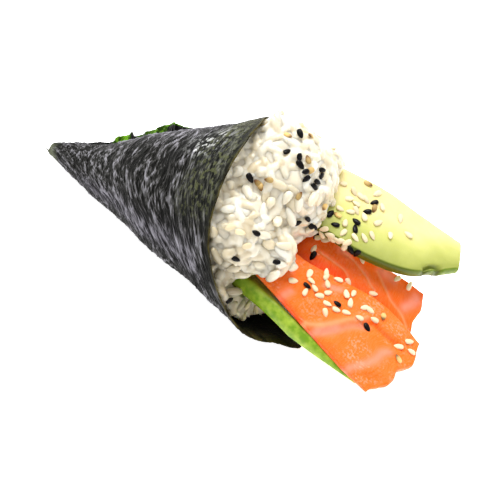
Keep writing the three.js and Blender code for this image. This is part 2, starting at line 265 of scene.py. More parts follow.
# A seed faces as the food does under it and this far beside it in the frame, if that lies this near, in mm.
BESIDE_SEED = 3
NEAR_SEED = 3
BLACK_SEEDS_SEEN_AT = (
    (300, 134), (287, 152), (299, 158), (300, 165), (305, 172), (306, 179), (322, 170), (321, 176),
    (317, 182), (314, 187), (250, 178), (330, 214), (335, 225), (307, 219), (297, 223), (317, 236),
    (313, 227), (256, 233), (236, 259), (276, 262), (313, 256), (307, 286), (337, 304), (367, 328),
    (374, 203), (367, 212), (356, 222), (355, 229), (351, 250), (357, 253), (229, 300),
)
TOASTED_SEEDS_SEEN_AT = (
    (288, 136), (310, 136), (308, 160), (309, 171), (269, 180), (258, 183), (261, 187), (299, 196),
    (324, 207), (368, 184), (374, 209), (337, 215), (398, 359), (383, 317),
)
IVORY_SEEDS_SEEN_AT = (
    (314, 249), (309, 274), (326, 273), (326, 277), (327, 284), (338, 280), (348, 283), (311, 281),
    (314, 288), (305, 292), (293, 281), (319, 296), (328, 293), (327, 304), (325, 313), (336, 310),
    (346, 313), (346, 294), (353, 294), (350, 303), (364, 308), (370, 311), (359, 318), (374, 320),
    (373, 294), (397, 279), (409, 286), (409, 342), (411, 352), (398, 347), (362, 260), (345, 246),
    (337, 240), (342, 241), (332, 239), (326, 240), (343, 184), (354, 192), (361, 197), (349, 199),
    (366, 200), (356, 204), (377, 194), (382, 207), (340, 209), (350, 212), (356, 211), (364, 217),
    (378, 223), (345, 223), (343, 233), (355, 238), (364, 238), (372, 236), (390, 236), (408, 235),
    (400, 219), (246, 246), (240, 232), (230, 227), (247, 305), (255, 309), (322, 234), (330, 235),
    (319, 238), (347, 243), (312, 226), (324, 229),
)


# ---- Curves and noise ----


def tint(red, green, blue):
    """A colour given in display values from 0 to 255."""
    display = np.array([red, green, blue]) / 255
    linear = np.where(display <= 0.04045, display / 12.92, ((display + 0.055) / 1.055) ** 2.4)
    return (*linear.tolist(), 1.0)


def bell(distance, spread):
    return np.exp(-((distance / spread) ** 2))


def near_angle(angle, middle, spread):
    """How near angles are to a middle, from 0 to 1 within a spread."""
    apart = angle - math.radians(middle)
    return bell(np.arctan2(np.sin(apart), np.cos(apart)), math.radians(spread))


def rise(value, low, high):
    """A smooth step from 0 at low to 1 at high."""
    share = np.clip((value - low) / (high - low), 0, 1)
    return share * share * (3 - 2 * share)


def noise_over(*coordinates, seed=0):
    """Smooth noise from about -1 to 1 over one to three arrays of coordinates."""
    arrays = np.broadcast_arrays(*coordinates)
    shift = 19.7 * seed
    if len(arrays) == 1:
        arrays.append(0 * arrays[0])
    columns = [array.ravel() + shift for array in arrays]
    if len(columns) == 2:
        columns.append(np.full(columns[0].shape, shift))
    values = [noise.noise(Vector(place)) for place in zip(*columns)]
    return np.array(values).reshape(arrays[0].shape)


def spline_step(before, here, after, beyond, share):
    """The point at a share of the way from here to after, on a smooth curve through four points."""
    spans = [np.sqrt(np.linalg.norm(b - a, axis=-1, keepdims=True))
             for a, b in ((before, here), (here, after), (after, beyond))]
    leaving = (
        (here - before) / spans[0] - (after - before) / (spans[0] + spans[1])
        + (after - here) / spans[1])
    arriving = (
        (after - here) / spans[1] - (beyond - here) / (spans[1] + spans[2])
        + (beyond - after) / spans[2])
    leaving = leaving * spans[1]
    arriving = arriving * spans[1]
    square = share**2
    cube = share**3
    return (here * (2 * cube - 3 * square + 1) + leaving * (cube - 2 * square + share)
            + after * (3 * square - 2 * cube) + arriving * (cube - square))


def curve_through(points, along):
    """Points of a smooth curve through all points; along runs from 0 at the first to 1 at the last."""
    points = np.array(points, float)
    padded = np.vstack([2 * points[0] - points[1], points, 2 * points[-1] - points[-2]])
    place = np.clip(along, 0, 1) * (len(points) - 1)
    span = np.minimum(place.astype(int), len(points) - 2)
    return spline_step(*(padded[span + step] for step in range(4)), (place - span)[..., None])


def profile_at(reach, profile):
    """The value of a profile of (reach, value) steps, eased between them."""
    reaches, values = np.array(profile, float).T
    step = np.clip(np.searchsorted(reaches, reach, side="right") - 1, 0, len(reaches) - 2)
    eased = rise((reach - reaches[step]) / (reaches[step + 1] - reaches[step]), 0, 1)
    return values[step] + eased * (values[step + 1] - values[step])


# ---- Meshes and objects ----


def grid_faces(rows, columns, start=0, closed=False):
    """Quads between rows of points; closed joins each row's last point to its first."""
    row, column = np.mgrid[0:rows - 1, 0:columns - (0 if closed else 1)]
    here = start + row * columns + column
    beside = start + row * columns + (column + 1) % columns
    return np.stack([here, beside, beside + columns, here + columns], -1).reshape(-1, 4).tolist()


def new_mesh(name, points, faces):
    mesh = bpy.data.meshes.new(name)
    mesh.from_pydata(points, [], faces)
    return mesh


def placed_object(name, data):
    placed = bpy.data.objects.new(name, data)
    bpy.context.scene.collection.objects.link(placed)
    return placed


def smooth_shaded(mesh):
    mesh.polygons.foreach_set("use_smooth", np.ones(len(mesh.polygons), bool))


def points_of(mesh):
    return np.array([vertex.co for vertex in mesh.vertices])


def add_marks(mesh, marks):
    """Gives a mesh named values at its points."""
    for mark, values in marks.items():
        values = values.astype(np.float32).ravel()
        mesh.attributes.new(mark, "FLOAT", "POINT").data.foreach_set("value", values)


def new_piece(name, points, faces, material, lengthwise, marks):
    """A smooth mesh object of points in millimetres from the tip, with its own UV map and marks."""
    mesh = new_mesh(name, ((points - MIDDLE_FROM_TIP) * MM).tolist(), faces)
    smooth_shaded(mesh)
    corner_points = np.zeros(len(mesh.loops), int)
    mesh.loops.foreach_get("vertex_index", corner_points)
    mesh.uv_layers.new(name="lengthwise").uv.foreach_set("vector", lengthwise[corner_points].ravel())
    add_marks(mesh, marks)
    face_outwards(mesh)
    mesh.materials.append(material)
    return placed_object(name, mesh)


def changed(mesh, change):
    """Changes a mesh with a function of its shell."""
    shell = bmesh.new()
    shell.from_mesh(mesh)
    change(shell)
    shell.to_mesh(mesh)
    shell.free()


def face_outwards(mesh):
    changed(mesh, lambda shell: bmesh.ops.recalc_face_normals(shell, faces=shell.faces))


def evened(piece, detail, steps):
    """Gives a piece an even mesh of that detail, softened in a few steps."""
    remesh = piece.modifiers.new("even", "REMESH")
    remesh.mode = "VOXEL"
    remesh.voxel_size = detail
    soften = piece.modifiers.new("soften", "SMOOTH")
    soften.factor = 0.5
    soften.iterations = steps


def made_plain(piece, material=None):
    """The same object with the result of its modifiers as its smooth mesh, in a material if one is given."""
    bpy.context.view_layer.update()
    evaluated = piece.evaluated_get(bpy.context.evaluated_depsgraph_get())
    mesh = bpy.data.meshes.new_from_object(evaluated, depsgraph=bpy.context.evaluated_depsgraph_get())
    piece.modifiers.clear()
    piece.data = mesh
    mesh.name = piece.name
    if material is not None:
        mesh.materials.clear()
        mesh.materials.append(material)
    smooth_shaded(mesh)
    return piece


def tree_of(piece):
    return BVHTree.FromObject(piece, bpy.context.evaluated_depsgraph_get())


def trees_of(*names):
    return [tree_of(bpy.data.objects[name]) for name in names]


def hand_over(piece, slot, *nodes):
    """The piece rides on the roll and stands for the nodes, which it hides; the slot is not used."""
    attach(piece, "root")
    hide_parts(*nodes)


# ---- Settings ----


def length_setting(name, description, default):
    return FloatProperty(name=name, description=description, default=default, unit="LENGTH")


def colour_setting(name, description, *display):
    """A colour whose default is given in display values from 0 to 255."""
    return FloatVectorProperty(
        name=name, description=description, subtype="COLOR", size=4, default=tint(*display))


# ---- Nodes ----


def socket_of(sockets, name):
    """The socket in use that has that name, or the one at that place."""
    if isinstance(name, int):
        return sockets[name]
    return next(socket for socket in sockets if socket.name == name and socket.enabled)


def feed(tree, sockets, values):
    """Gives named sockets a value or a link each."""
    for name, value in values.items():
        socket = socket_of(sockets, name)
        if isinstance(value, bpy.types.NodeSocket):
            tree.links.new(value, socket)
        else:
            socket.default_value = value


def add_node(tree, kind, values=None, **settings):
    """A node with its settings, and a value or a link for each named input."""
    node = tree.nodes.new(kind)
    for name, setting in settings.items():
        setattr(node, name, setting)
    feed(tree, node.inputs, values or {})
    return node


def maths(tree, operation, *values):
    return add_node(tree, "ShaderNodeMath", dict(enumerate(values)), operation=operation).outputs[0]


def times(tree, *values):
    return maths(tree, "MULTIPLY", *values)


def times_plus(tree, value, share, added):
    return maths(tree, "MULTIPLY_ADD", value, share, added)


def vectors(tree, operation, *values):
    return add_node(tree, "ShaderNodeVectorMath", dict(enumerate(values)), operation=operation).outputs[0]


def scaled(tree, vector, share):
    return add_node(tree, "ShaderNodeVectorMath", {0: vector, "Scale": share}, operation="SCALE").outputs[0]


def noise_texture(tree, places, scale, detail):
    values = {"Vector": places, "Scale": scale, "Detail": detail}
    return add_node(tree, "ShaderNodeTexNoise", values).outputs


def bumped(tree, height, depth, strength):
    values = {"Height": height, "Distance": depth, "Strength": strength}
    return add_node(tree, "ShaderNodeBump", values).outputs["Normal"]


def mark_of(tree, name):
    """The value of a mesh's own mark."""
    return add_node(tree, "ShaderNodeAttribute", attribute_name=name).outputs["Fac"]


def blended(tree, share, low, high):
    """The colour between low and high."""
    node = add_node(tree, "ShaderNodeMix", {"Factor": share, "A": low, "B": high}, data_type="RGBA")
    return socket_of(node.outputs, "Result")


def layered(tree, colour, *layers):
    """A colour under layers of (share, strength, colour); a share is a value or the name of a mark."""
    for share, strength, over in layers:
        share = mark_of(tree, share) if isinstance(share, str) else share
        share = share if strength == 1 else times(tree, share, strength)
        colour = blended(tree, share, colour, over)
    return colour


def ramp(tree, share, *stops):
    """A colour from a ramp of (place, colour) stops."""
    node = add_node(tree, "ShaderNodeValToRGB", {"Fac": share})
    elements = node.color_ramp.elements
    while len(elements) < len(stops):
        elements.new(1)
    for element, (place, colour) in zip(elements, stops):
        element.position = place
        element.color = colour
    return node.outputs["Color"]


def node_group(name, tree_type, inputs, output, output_kind):
    """An empty node group and the sockets of its two ends; an input is given as its kind or its default."""
    tree = bpy.data.node_groups.new(name, tree_type)
    for label, given in inputs.items():
        kind = given if isinstance(given, str) else "Float"
        socket = tree.interface.new_socket(label, in_out="INPUT", socket_type="NodeSocket" + kind)
        if not isinstance(given, str):
            socket.default_value = given
    tree.interface.new_socket(output, in_out="OUTPUT", socket_type="NodeSocket" + output_kind)
    return tree, tree.nodes.new("NodeGroupInput").outputs, tree.nodes.new("NodeGroupOutput").inputs


def streaks_group():
    """Wavering ridges that run along the second coordinate: wrinkles of seaweed and fibres of fish."""
    inputs = {"Vector": "Vector", "Spacing": 0.2, "Length": 1.0, "Waver": 0.3, "Sharpness": 2.0}
    tree, given, out = node_group("streaks", "ShaderNodeTree", inputs, "Ridge", "Float")
    drift = noise_texture(tree, given["Vector"], 0.9, 2)["Color"]
    moved = scaled(tree, vectors(tree, "SUBTRACT", drift, (0.5, 0.5, 0.5)), given["Waver"])
    stretch = add_node(tree, "ShaderNodeCombineXYZ", {
        "X": maths(tree, "DIVIDE", 1.0, given["Spacing"]),
        "Y": maths(tree, "DIVIDE", 1.0, given["Length"]),
        "Z": 1.0,
    }).outputs[0]
    placed = vectors(tree, "MULTIPLY", vectors(tree, "ADD", given["Vector"], moved), stretch)
    spread = times_plus(tree, noise_texture(tree, placed, 1.0, 3)["Fac"], 2.0, -1.0)
    ridges = maths(tree, "SUBTRACT", 1.0, maths(tree, "ABSOLUTE", spread))
    feed(tree, out, {"Ridge": maths(tree, "POWER", ridges, given["Sharpness"])})
    return tree


def mottle_group():
    """Soft patches: 0 where the noise is below From and 1 where it is above To."""
    inputs = {"Vector": "Vector", "Scale": 100.0, "From": 0.4, "To": 0.6}
    tree, given, out = node_group("mottle", "ShaderNodeTree", inputs, "Mask", "Float")
    eased = add_node(tree, "ShaderNodeMapRange", {
        "Value": noise_texture(tree, given["Vector"], given["Scale"], 4)["Fac"],
        "From Min": given["From"], "From Max": given["To"],
    }, interpolation_type="SMOOTHSTEP")
    feed(tree, out, {"Mask": eased.outputs["Result"]})
    return tree


def moist_skin_group():
    """The normal of a moist surface with fine unevenness of a given scale and depth."""
    inputs = {"Vector": "Vector", "Scale": 600.0, "Depth": 0.0002, "Strength": 0.4}
    tree, given, out = node_group("moist_skin", "ShaderNodeTree", inputs, "Normal", "Vector")
    uneven = noise_texture(tree, given["Vector"], given["Scale"], 3)["Fac"]
    feed(tree, out, {"Normal": bumped(tree, uneven, given["Depth"], given["Strength"])})
    return tree


def effect(tree, name, make, places, **values):
    """A placed shader group, which is made once."""
    node = tree.nodes.new("ShaderNodeGroup")
    node.node_tree = bpy.data.node_groups.get(name) or make()
    feed(tree, node.inputs, {"Vector": places, **values})
    return node.outputs[0]


def object_places(tree):
    node = tree.nodes.get("Texture Coordinate") or tree.nodes.new("ShaderNodeTexCoord")
    return node.outputs["Object"]


def streaks(tree, spacing, length, waver, sharpness):
    lengthwise = add_node(tree, "ShaderNodeUVMap", uv_map="lengthwise").outputs["UV"]
    return effect(tree, "streaks", streaks_group, lengthwise,
                  Spacing=spacing, Length=length, Waver=waver, Sharpness=sharpness)


def mottle(tree, scale, low, high):
    return effect(tree, "mottle", mottle_group, object_places(tree), Scale=scale, From=low, To=high)


def moist_skin(tree, scale, depth, strength):
    return effect(tree, "moist_skin", moist_skin_group, object_places(tree),
                  Scale=scale, Depth=depth, Strength=strength)


def new_material(name, **constants):
    """A material with constant values on its shader; returned with its tree and the shader's inputs."""
    material = bpy.data.materials.new(name)
    material.use_nodes = True
    shader = material.node_tree.nodes["Principled BSDF"]
    for label, value in constants.items():
        shader.inputs[label.replace("_", " ")].default_value = value
    return material, material.node_tree, shader.inputs


# ---- Nodes that lay shapes on a surface ----


def laying_tree(name, inputs):
    """An empty Geometry Nodes tree that lays shapes, with its inputs' and its output's sockets."""
    shared = {"Geometry": "Geometry", "Seed": "Int", "Smallest": "Float", "Material": "Material"}
    return node_group(name, "GeometryNodeTree", {**shared, **inputs}, "Geometry", "Geometry")


def random_value(tree, given, kind, low, high, draw):
    """A random value for each shape; draw says which of the tree's draws it is."""
    seed = maths(tree, "ADD", given["Seed"], float(draw)) if draw else given["Seed"]
    node = add_node(tree, "FunctionNodeRandomValue", {"Min": low, "Max": high, "Seed": seed}, data_type=kind)
    return socket_of(node.outputs, "Value")


def turned(tree, rotation, euler):
    """A rotation turned further about its own axes."""
    further = add_node(tree, "FunctionNodeEulerToRotation", {"Euler": euler}).outputs[0]
    values = {"Rotation": rotation, "Rotate By": further}
    return add_node(tree, "FunctionNodeRotateRotation", values, rotation_space="LOCAL").outputs[0]


def lay_shapes(tree, given, out, values, largest, size_draw, tone_draw):
    """Shapes of random size and tone on points, made real, in their material."""
    size = random_value(tree, given, "FLOAT", given["Smallest"], largest, size_draw)
    placed = add_node(tree, "GeometryNodeInstanceOnPoints", {**values, "Scale": size})
    tone = random_value(tree, given, "FLOAT", 0.0, 1.0, tone_draw)
    toned = add_node(tree, "GeometryNodeStoreNamedAttribute", {
        "Geometry": placed.outputs["Instances"], "Name": "tone", "Value": tone,
    }, data_type="FLOAT", domain="INSTANCE")
    real = add_node(tree, "GeometryNodeRealizeInstances", {"Geometry": toned.outputs["Geometry"]})
    finished = add_node(tree, "GeometryNodeSetMaterial", {
        "Geometry": real.outputs["Geometry"], "Material": given["Material"]})
    feed(tree, out, {"Geometry": finished.outputs["Geometry"]})


def scatter_tree():
    """Grains scattered over the open part of a surface, lying along it with a random turn and tilt."""
    tree, given, out = laying_tree("scatter_grains", {
        "Shapes": "Collection", "Spacing": "Float", "Tilt": "Float", "Sink": "Float", "Where": "String"})
    share = add_node(tree, "GeometryNodeInputNamedAttribute", {"Name": given["Where"]}, data_type="FLOAT")
    scattered = add_node(tree, "GeometryNodeDistributePointsOnFaces", {
        "Mesh": given["Geometry"], "Distance Min": given["Spacing"], "Density Max": 3e5,
        "Density Factor": share.outputs["Attribute"], "Seed": given["Seed"],
    }, distribute_method="POISSON").outputs
    turn = random_value(tree, given, "FLOAT_VECTOR", (0, 0, 0), (0, 0, FULL_TURN), 0)
    down = times(tree, given["Tilt"], -1.0)
    low = add_node(tree, "ShaderNodeCombineXYZ", {"X": -math.pi, "Y": down, "Z": 0.0}).outputs[0]
    high = add_node(tree, "ShaderNodeCombineXYZ", {"X": math.pi, "Y": given["Tilt"], "Z": 0.0}).outputs[0]
    tilt = random_value(tree, given, "FLOAT_VECTOR", low, high, 1)
    shapes = add_node(tree, "GeometryNodeCollectionInfo", {
        "Collection": given["Shapes"], "Separate Children": True, "Reset Children": True})
    inwards = scaled(tree, scattered["Normal"], times(tree, given["Sink"], -1.0))
    sunk = add_node(tree, "GeometryNodeSetPosition", {"Geometry": scattered["Points"], "Offset": inwards})
    lay_shapes(tree, given, out, {
        "Points": sunk.outputs["Geometry"], "Instance": shapes.outputs["Instances"], "Pick Instance": True,
        "Instance Index": random_value(tree, given, "INT", 0, len(GRAIN_KINDS) - 1, 3),
        "Rotation": turned(tree, turned(tree, scattered["Rotation"], turn), tilt),
    }, largest=1.08, size_draw=2, tone_draw=4)
    return tree


def seeds_tree():
    """One shape at every point of a mesh, facing as its point says and turned about that."""
    tree, given, out = laying_tree("lay_seeds", {"Shape": "Object"})
    facing = add_node(tree, "GeometryNodeInputNamedAttribute", {"Name": "facing"}, data_type="FLOAT_VECTOR")
    upright = add_node(tree, "FunctionNodeAlignRotationToVector", {
        "Vector": socket_of(facing.outputs, "Attribute")}, axis="Z").outputs[0]
    turn = random_value(tree, given, "FLOAT_VECTOR", (-0.25, -0.25, 0), (0.25, 0.25, FULL_TURN), 0)
    shape = add_node(tree, "GeometryNodeObjectInfo", {"Object": given["Shape"], "As Instance": True})
    lay_shapes(tree, given, out, {
        "Points": given["Geometry"], "Instance": shape.outputs["Geometry"],
        "Rotation": turned(tree, upright, turn),
    }, largest=1.05, size_draw=1, tone_draw=2)
    return tree


def laid(piece, name, make, values):
    """The piece with the shapes that its Geometry Nodes tree lays, as plain mesh."""
    modifier = piece.modifiers.new("lay", "NODES")
    modifier.node_group = bpy.data.node_groups.get(name) or make()
    values = {"Smallest": SMALLEST, **values}
    for item in modifier.node_group.interface.items_tree:
        if item.item_type == "SOCKET" and item.in_out == "INPUT" and item.name in values:
            modifier[item.identifier] = values[item.name]
    return made_plain(piece)


# ---- Seaweed ----


def rim_reach(angle):
    """How far along the axis the rim reaches at an angle round the cone."""
    count = len(RIM_REACH)
    place = np.asarray(angle) / FULL_TURN % 1 * count
    first = np.floor(place).astype(int)
    reaches = np.array(RIM_REACH)
    nearby = [np.stack([np.full(place.shape, float(step)), reaches[(first + step) % count]], -1)
              for step in (-1, 0, 1, 2)]
    reach = spline_step(*nearby, (place - first)[..., None])[..., 1]
    for corner in RIM_CORNERS:
        reach = reach + corner["height"] * near_angle(angle, corner["angle"], corner["spread"])
    return reach


def outwards_at(angle):
    """The direction from the axis at an angle round the cone: 0 is the far side, a quarter turn the top."""
    return SIDE * np.cos(angle)[..., None] + UP * np.sin(angle)[..., None]


def cone_points(reach, angle, sunk, lowest=0):
    """Points of the cone, sunk below its outermost layer and no lower than lowest."""
    radius = np.maximum(0, reach * math.tan(CONE_HALF_ANGLE) - sunk)
    half_width = np.maximum(0.4 * radius, radius - profile_at(reach, FLANK_PINCH))
    height = radius * np.sin(angle) + profile_at(reach, TOP_RISE) * (1 + np.sin(angle)) / 2
    points = AXIS * reach[..., None] + SIDE * (half_width * np.cos(angle))[..., None] + UP * height[..., None]
    lift = LIP_LIFT["height"] * near_angle(angle, LIP_LIFT["angle"], LIP_LIFT["spread"])
    points[..., 2] += lift * rise(reach, *LIP_LIFT["over"])
    points[..., 2] = np.maximum(points[..., 2] - UNDERSIDE_DROP, lowest)
    return points


def places_round_cone(places):
    """How far along the axis places lie, and at which angle round it."""
    reach = places @ AXIS
    beside_axis = places - AXIS * reach[:, None]
    return reach, np.arctan2(beside_axis @ UP, beside_axis @ SIDE)


class NoriSettings(bpy.types.PropertyGroup):
    wrinkle_depth: length_setting("Wrinkle depth", "Height of the sheet's wrinkles", 0.0007)
    wrinkle_spacing: length_setting("Wrinkle spacing", "Distance between wrinkles", 0.003)
    sheet_thickness: length_setting("Sheet thickness", "Thickness of the wall at the rim", 0.0005)
    # The furrow colour is the sheet's near-black, darkened as painted shade; the ridge colour is painted
    # sheen.
    furrow: colour_setting("Furrow", "Colour of the furrows", 10, 10, 8)
    slope: colour_setting("Slope", "Colour between furrows and ridges", 78, 77, 76)
    ridge_sheen: colour_setting("Ridge", "Colour of the dusty ridges", 146, 144, 150)
    olive: colour_setting("Olive", "Colour of the specks near the mouth", 112, 116, 76)


class TEMAKI_OT_wrap_nori(bpy.types.Operator):
    """Wrap the seaweed sheet into its cone"""

    bl_idname = "temaki.wrap_nori"
    bl_label = "Wrap seaweed"

    def execute(self, context):
        settings = context.scene.temaki_nori
        material = nori_material(settings)
        hand_over(nori_wrap(settings, material), "nori", "nori_cone")
        hand_over(nori_frill(material), "nori", "nori_cone")
        return {"FINISHED"}


def nori_wrap(settings, material):
    """The cone with a wrinkled outside, a smooth lining and the step where the outer layer ends."""
    turn = np.linspace(0, 1, WRAP_COLUMNS)[None, :]
    share = np.linspace(WRAP_START, 1, WRAP_ROWS)[:, None]
    rim_angle = SHEET_EDGE_ANGLE + turn * FULL_TURN
    ragged = rim_reach(rim_angle) + 0.35 * noise_over(rim_angle * 9) + 0.2 * noise_over(rim_angle * 31)
    reach = share * ragged
    angle = np.broadcast_to(rim_angle, reach.shape)
    around = np.broadcast_to(turn * FULL_TURN * MEAN_RADIUS, reach.shape)
    from_tip = np.minimum(1, reach / CAVITY_START)
    outwards = outwards_at(angle)
    # Broad swells, and a rim that curls a little in and out.
    swell = 0.3 * noise_over(reach / 17, around / 21, seed=1) * from_tip
    swell = swell + 0.5 * noise_over(angle * 1.7, angle * 0, seed=2) * rise(share, 0.88, 1)
    smooth = cone_points(reach, angle, SHEET_OVERLAP * (1 - turn) * from_tip) + outwards * swell[..., None]
    lean = THREADS_LEAN["reach"] * near_angle(angle, THREADS_LEAN["angle"], THREADS_LEAN["spread"])
    drift = 3 * noise_over(reach / 17, around / 11, seed=3) + 0.6 * noise_over(reach / 6, around / 4, seed=4)
    # How far places lie across the sheet's threads, which run round the cone and bend lengthwise below.
    along = reach - lean + drift
    marks = nori_marks(reach, angle, around, along, ragged - reach, settings)
    standing_out = (marks["wrinkle"] - 0.35) * (1 - 0.6 * marks["calm"]) * rise(reach, 2, 16)
    outside = smooth + outwards * (standing_out * settings.wrinkle_depth / MM)[..., None]
    outside[..., 2] = np.maximum(outside[..., 2], 0)
    thickness = settings.sheet_thickness / MM
    back = np.linspace(1, LINING_START, LINING_ROWS)
    lining_rows = np.round(back**1.6 * (WRAP_ROWS - 1)).astype(int)
    lining = smooth[lining_rows] - outwards[lining_rows] * thickness
    lining[..., 2] = np.maximum(lining[..., 2], thickness)
    points = [[[0, 0, TIP_HEIGHT]], outside.reshape(-1, 3), lining.reshape(-1, 3), [AXIS * CAVITY_START]]
    faces = grid_faces(WRAP_ROWS + LINING_ROWS, WRAP_COLUMNS, start=1, closed=True)
    last = 1 + (WRAP_ROWS + LINING_ROWS) * WRAP_COLUMNS
    for column in range(WRAP_COLUMNS):
        beside = (column + 1) % WRAP_COLUMNS
        faces.append([0, 1 + beside, 1 + column])
        faces.append([last - WRAP_COLUMNS + column, last - WRAP_COLUMNS + beside, last])
    unrolled = [with_lining(values, values[lining_rows]) / MAP_UNIT for values in (along, around)]
    whole = {name: with_lining(values, 0 * values[lining_rows]) for name, values in marks.items()}
    whole["gold"] = with_lining(marks["gold"], marks["gold"][lining_rows])
    # The lining gets painted shade, near black.
    whole["inner"] = with_lining(0 * reach, 1 + 0 * reach[lining_rows])
    return new_piece("nori_wrap", np.vstack(points), faces, material, np.stack(unrolled, -1), whole)


def with_lining(outside, lining):
    """Values for all points of the wrap, from its tip over the outside and back along the lining."""
    values = np.concatenate([outside.ravel(), lining.ravel()])
    return np.concatenate([values[:1], values, values[-1:]])


def in_patch(reach, angle, patch):
    """How far places lie in a patch of the sheet, from 0 to 1."""
    near = near_angle(angle, patch["angle"], patch["spread"]) * rise(reach, *patch["comes"])
    return near * (1 - rise(reach, *patch["goes"])) if "goes" in patch else near


def nori_marks(reach, angle, around, along, to_rim, settings):
    """Where the sheet is wrinkled, calm or thin, gets painted sheen, glints or painted rim shade, or has its
    gold rim: 0 to 1.
    """
    spacing = settings.wrinkle_spacing / MM
    web = 0
    for lean, apart, length, steepness, sharpness, share, seed in SHEET_RIDGES:
        wave = noise_over((along + lean * around) / (apart * spacing), around / length, seed=seed)
        web = web + share * np.maximum(0, 1 - steepness * np.abs(wave)) ** sharpness
    swells = noise_over(along / 8, around / 9, seed=8)
    hollows = rise(-noise_over(along / (1.1 * spacing), around / 8, seed=9), 0.02, 0.28)
    calm = rise(reach + 5 * noise_over(reach / 11, around / 13, seed=10), 95, 107)
    calm = calm * rise(angle, math.radians(62), math.radians(84))
    calm = calm * (1 - rise(angle, math.radians(138), math.radians(160)))
    # Painted sheen along the bottom and the top, which also lightens and raises the wrinkles there.
    dust = in_patch(reach, angle, LOW_SHEEN)
    top_sheen = in_patch(reach, angle, TOP_SHEEN)
    wrinkle = web * (1 - 0.6 * hollows) * (1 + 0.5 * swells) + 0.1 * dust + 0.17 * top_sheen
    wrinkle = wrinkle + 0.08 * (1 - rise(reach, 45, 75))
    broken = rise(noise_over(angle * 12, angle * 0, seed=15), -0.3, 0.3)
    glint = near_angle(angle, GLINT["angle"], GLINT["spread"])
    return {
        "wrinkle": np.clip(wrinkle, 0, 1),
        "calm": calm,
        "dust": np.maximum(dust, 0.7 * top_sheen),
        "pale_tip": 1 - rise(reach, 5, 13),
        "khaki": 0.12 * in_patch(reach, angle, KHAKI),
        "glint": bell(reach - GLINT["reach"], GLINT["length"]) * glint,
        # Painted shade just inside the rim, where the sheet's inner side lies in shadow.
        "dark_rim": bell(to_rim - 1.2, 1.2),
        "gold": np.exp(-to_rim / 0.3) * (0.1 + 0.4 * broken),
    }


def nori_frill(material):
    """The torn corner of the sheet that stands off the cone: a ruffled strip with a ragged top."""
    columns = FRILL["columns"]
    rows = FRILL["rows"]
    along = np.linspace(0, 1, columns)[None, :]
    up = np.linspace(0, 1, rows)[:, None]
    reach = FRILL_TOP[0][0] + along * (FRILL_TOP[-1][0] - FRILL_TOP[0][0])
    angle = np.full(reach.shape, math.radians(FRILL["angle"]))
    root = cone_points(reach, angle, FRILL["sunk"])
    height = FRILL["sunk"] + profile_at(reach, FRILL_TOP) + 0.25 * noise_over(along * 41, along * 0, seed=11)
    ruffle = up * (0.8 * np.sin(along * 31 + 2 * noise_over(along * 4, along * 0, seed=12)) - 0.3)
    across = np.cross(AXIS, outwards_at(angle))
    points = root + outwards_at(angle) * (up * height)[..., None] + across * ruffle[..., None]
    half = across * FRILL["thickness"] / 2
    count = rows * columns
    faces = grid_faces(rows, columns) + grid_faces(rows, columns, start=count)
    numbers = np.arange(count).reshape(rows, columns)
    rim = [*numbers[:, 0], *numbers[-1, 1:], *numbers[-2::-1, -1], *numbers[0, -2:0:-1]]
    faces += [[here, beside, beside + count, here + count] for here, beside in zip(rim, rim[1:] + rim[:1])]
    green_edge = 0.8 * rise(up, 0.7, 0.95) * rise(reach, 57, 62)
    green = np.maximum(profile_at(reach, FRILL_GREEN) + 0 * up, green_edge)
    marks = {"green": np.tile(green.ravel(), 2), "wrinkle": np.full(2 * count, 0.2)}
    unrolled = np.stack([np.broadcast_to(reach, (rows, columns)), height * up], -1).reshape(-1, 2) / MAP_UNIT
    both = np.vstack([(points + half).reshape(-1, 3), (points - half).reshape(-1, 3)])
    return new_piece("nori_frill", both, faces, material, np.tile(unrolled, (2, 1)), marks)


def nori_material(settings):
    """Crinkled seaweed: ridges with painted sheen over near-black furrows with painted shade, olive where it
    is thin, gold at its edge.
    """
    material, tree, shader = new_material("crinkled_seaweed", Specular_IOR_Level=0.02, Coat_Roughness=0.12)
    threads = streaks(tree, spacing=0.06, length=0.6, waver=0.3, sharpness=7.0)
    net = streaks(tree, spacing=0.2, length=0.7, waver=0.7, sharpness=12.0)
    relief = times_plus(tree, net, 0.35, times_plus(tree, threads, 0.25, mark_of(tree, "wrinkle")))
    tone = times_plus(tree, relief, 1.6, -0.52)
    # The ramp paints shade in the furrows and sheen on the ridges, by the height of the relief.
    sheet = ramp(tree, tone, (0.0, settings.furrow), (0.25, tint(36, 36, 33)), (0.5, settings.slope),
                 (1.0, settings.ridge_sheen))
    # The colour of the painted sheen.
    sheen_lilac = blended(tree, tone, tint(16, 15, 17), tint(158, 154, 166))
    smooth = layered(
        tree, blended(tree, tone, tint(9, 10, 7), tint(106, 107, 95)),
        (mottle(tree, 380.0, 0.5, 0.58), 0.8, tint(10, 12, 7)),
        (mottle(tree, 620.0, 0.52, 0.6), 0.4, settings.olive),
    )
    torn = blended(tree, mottle(tree, 480.0, 0.4, 0.6), tint(50, 84, 12), tint(122, 180, 44))
    glints = times(tree, mottle(tree, 420.0, 0.54, 0.58), mark_of(tree, "glint"))
    # Over the sheet: painted sheen, painted shade by the rim and on the lining, and painted glints.
    sheet = layered(
        tree, sheet,
        ("dust", 0.5, sheen_lilac), ("calm", 1, smooth), ("pale_tip", 0.7, tint(128, 134, 108)),
        ("khaki", 1, tint(140, 136, 92)), ("dark_rim", 0.7, tint(22, 22, 14)), ("inner", 1, tint(8, 9, 5)),
        ("gold", 1, tint(116, 106, 56)), ("green", 1, torn), (glints, 0.5, tint(206, 208, 202)),
    )
    pores = noise_texture(tree, object_places(tree), 1400.0, 2)["Fac"]
    feed(tree, shader, {
        "Base Color": sheet,
        "Roughness": times_plus(tree, relief, 0.2, 0.45),
        "Coat Weight": glints,
        "Normal": bumped(tree, times_plus(tree, pores, 0.35, relief), 0.0007, 0.8),
    })
    return material


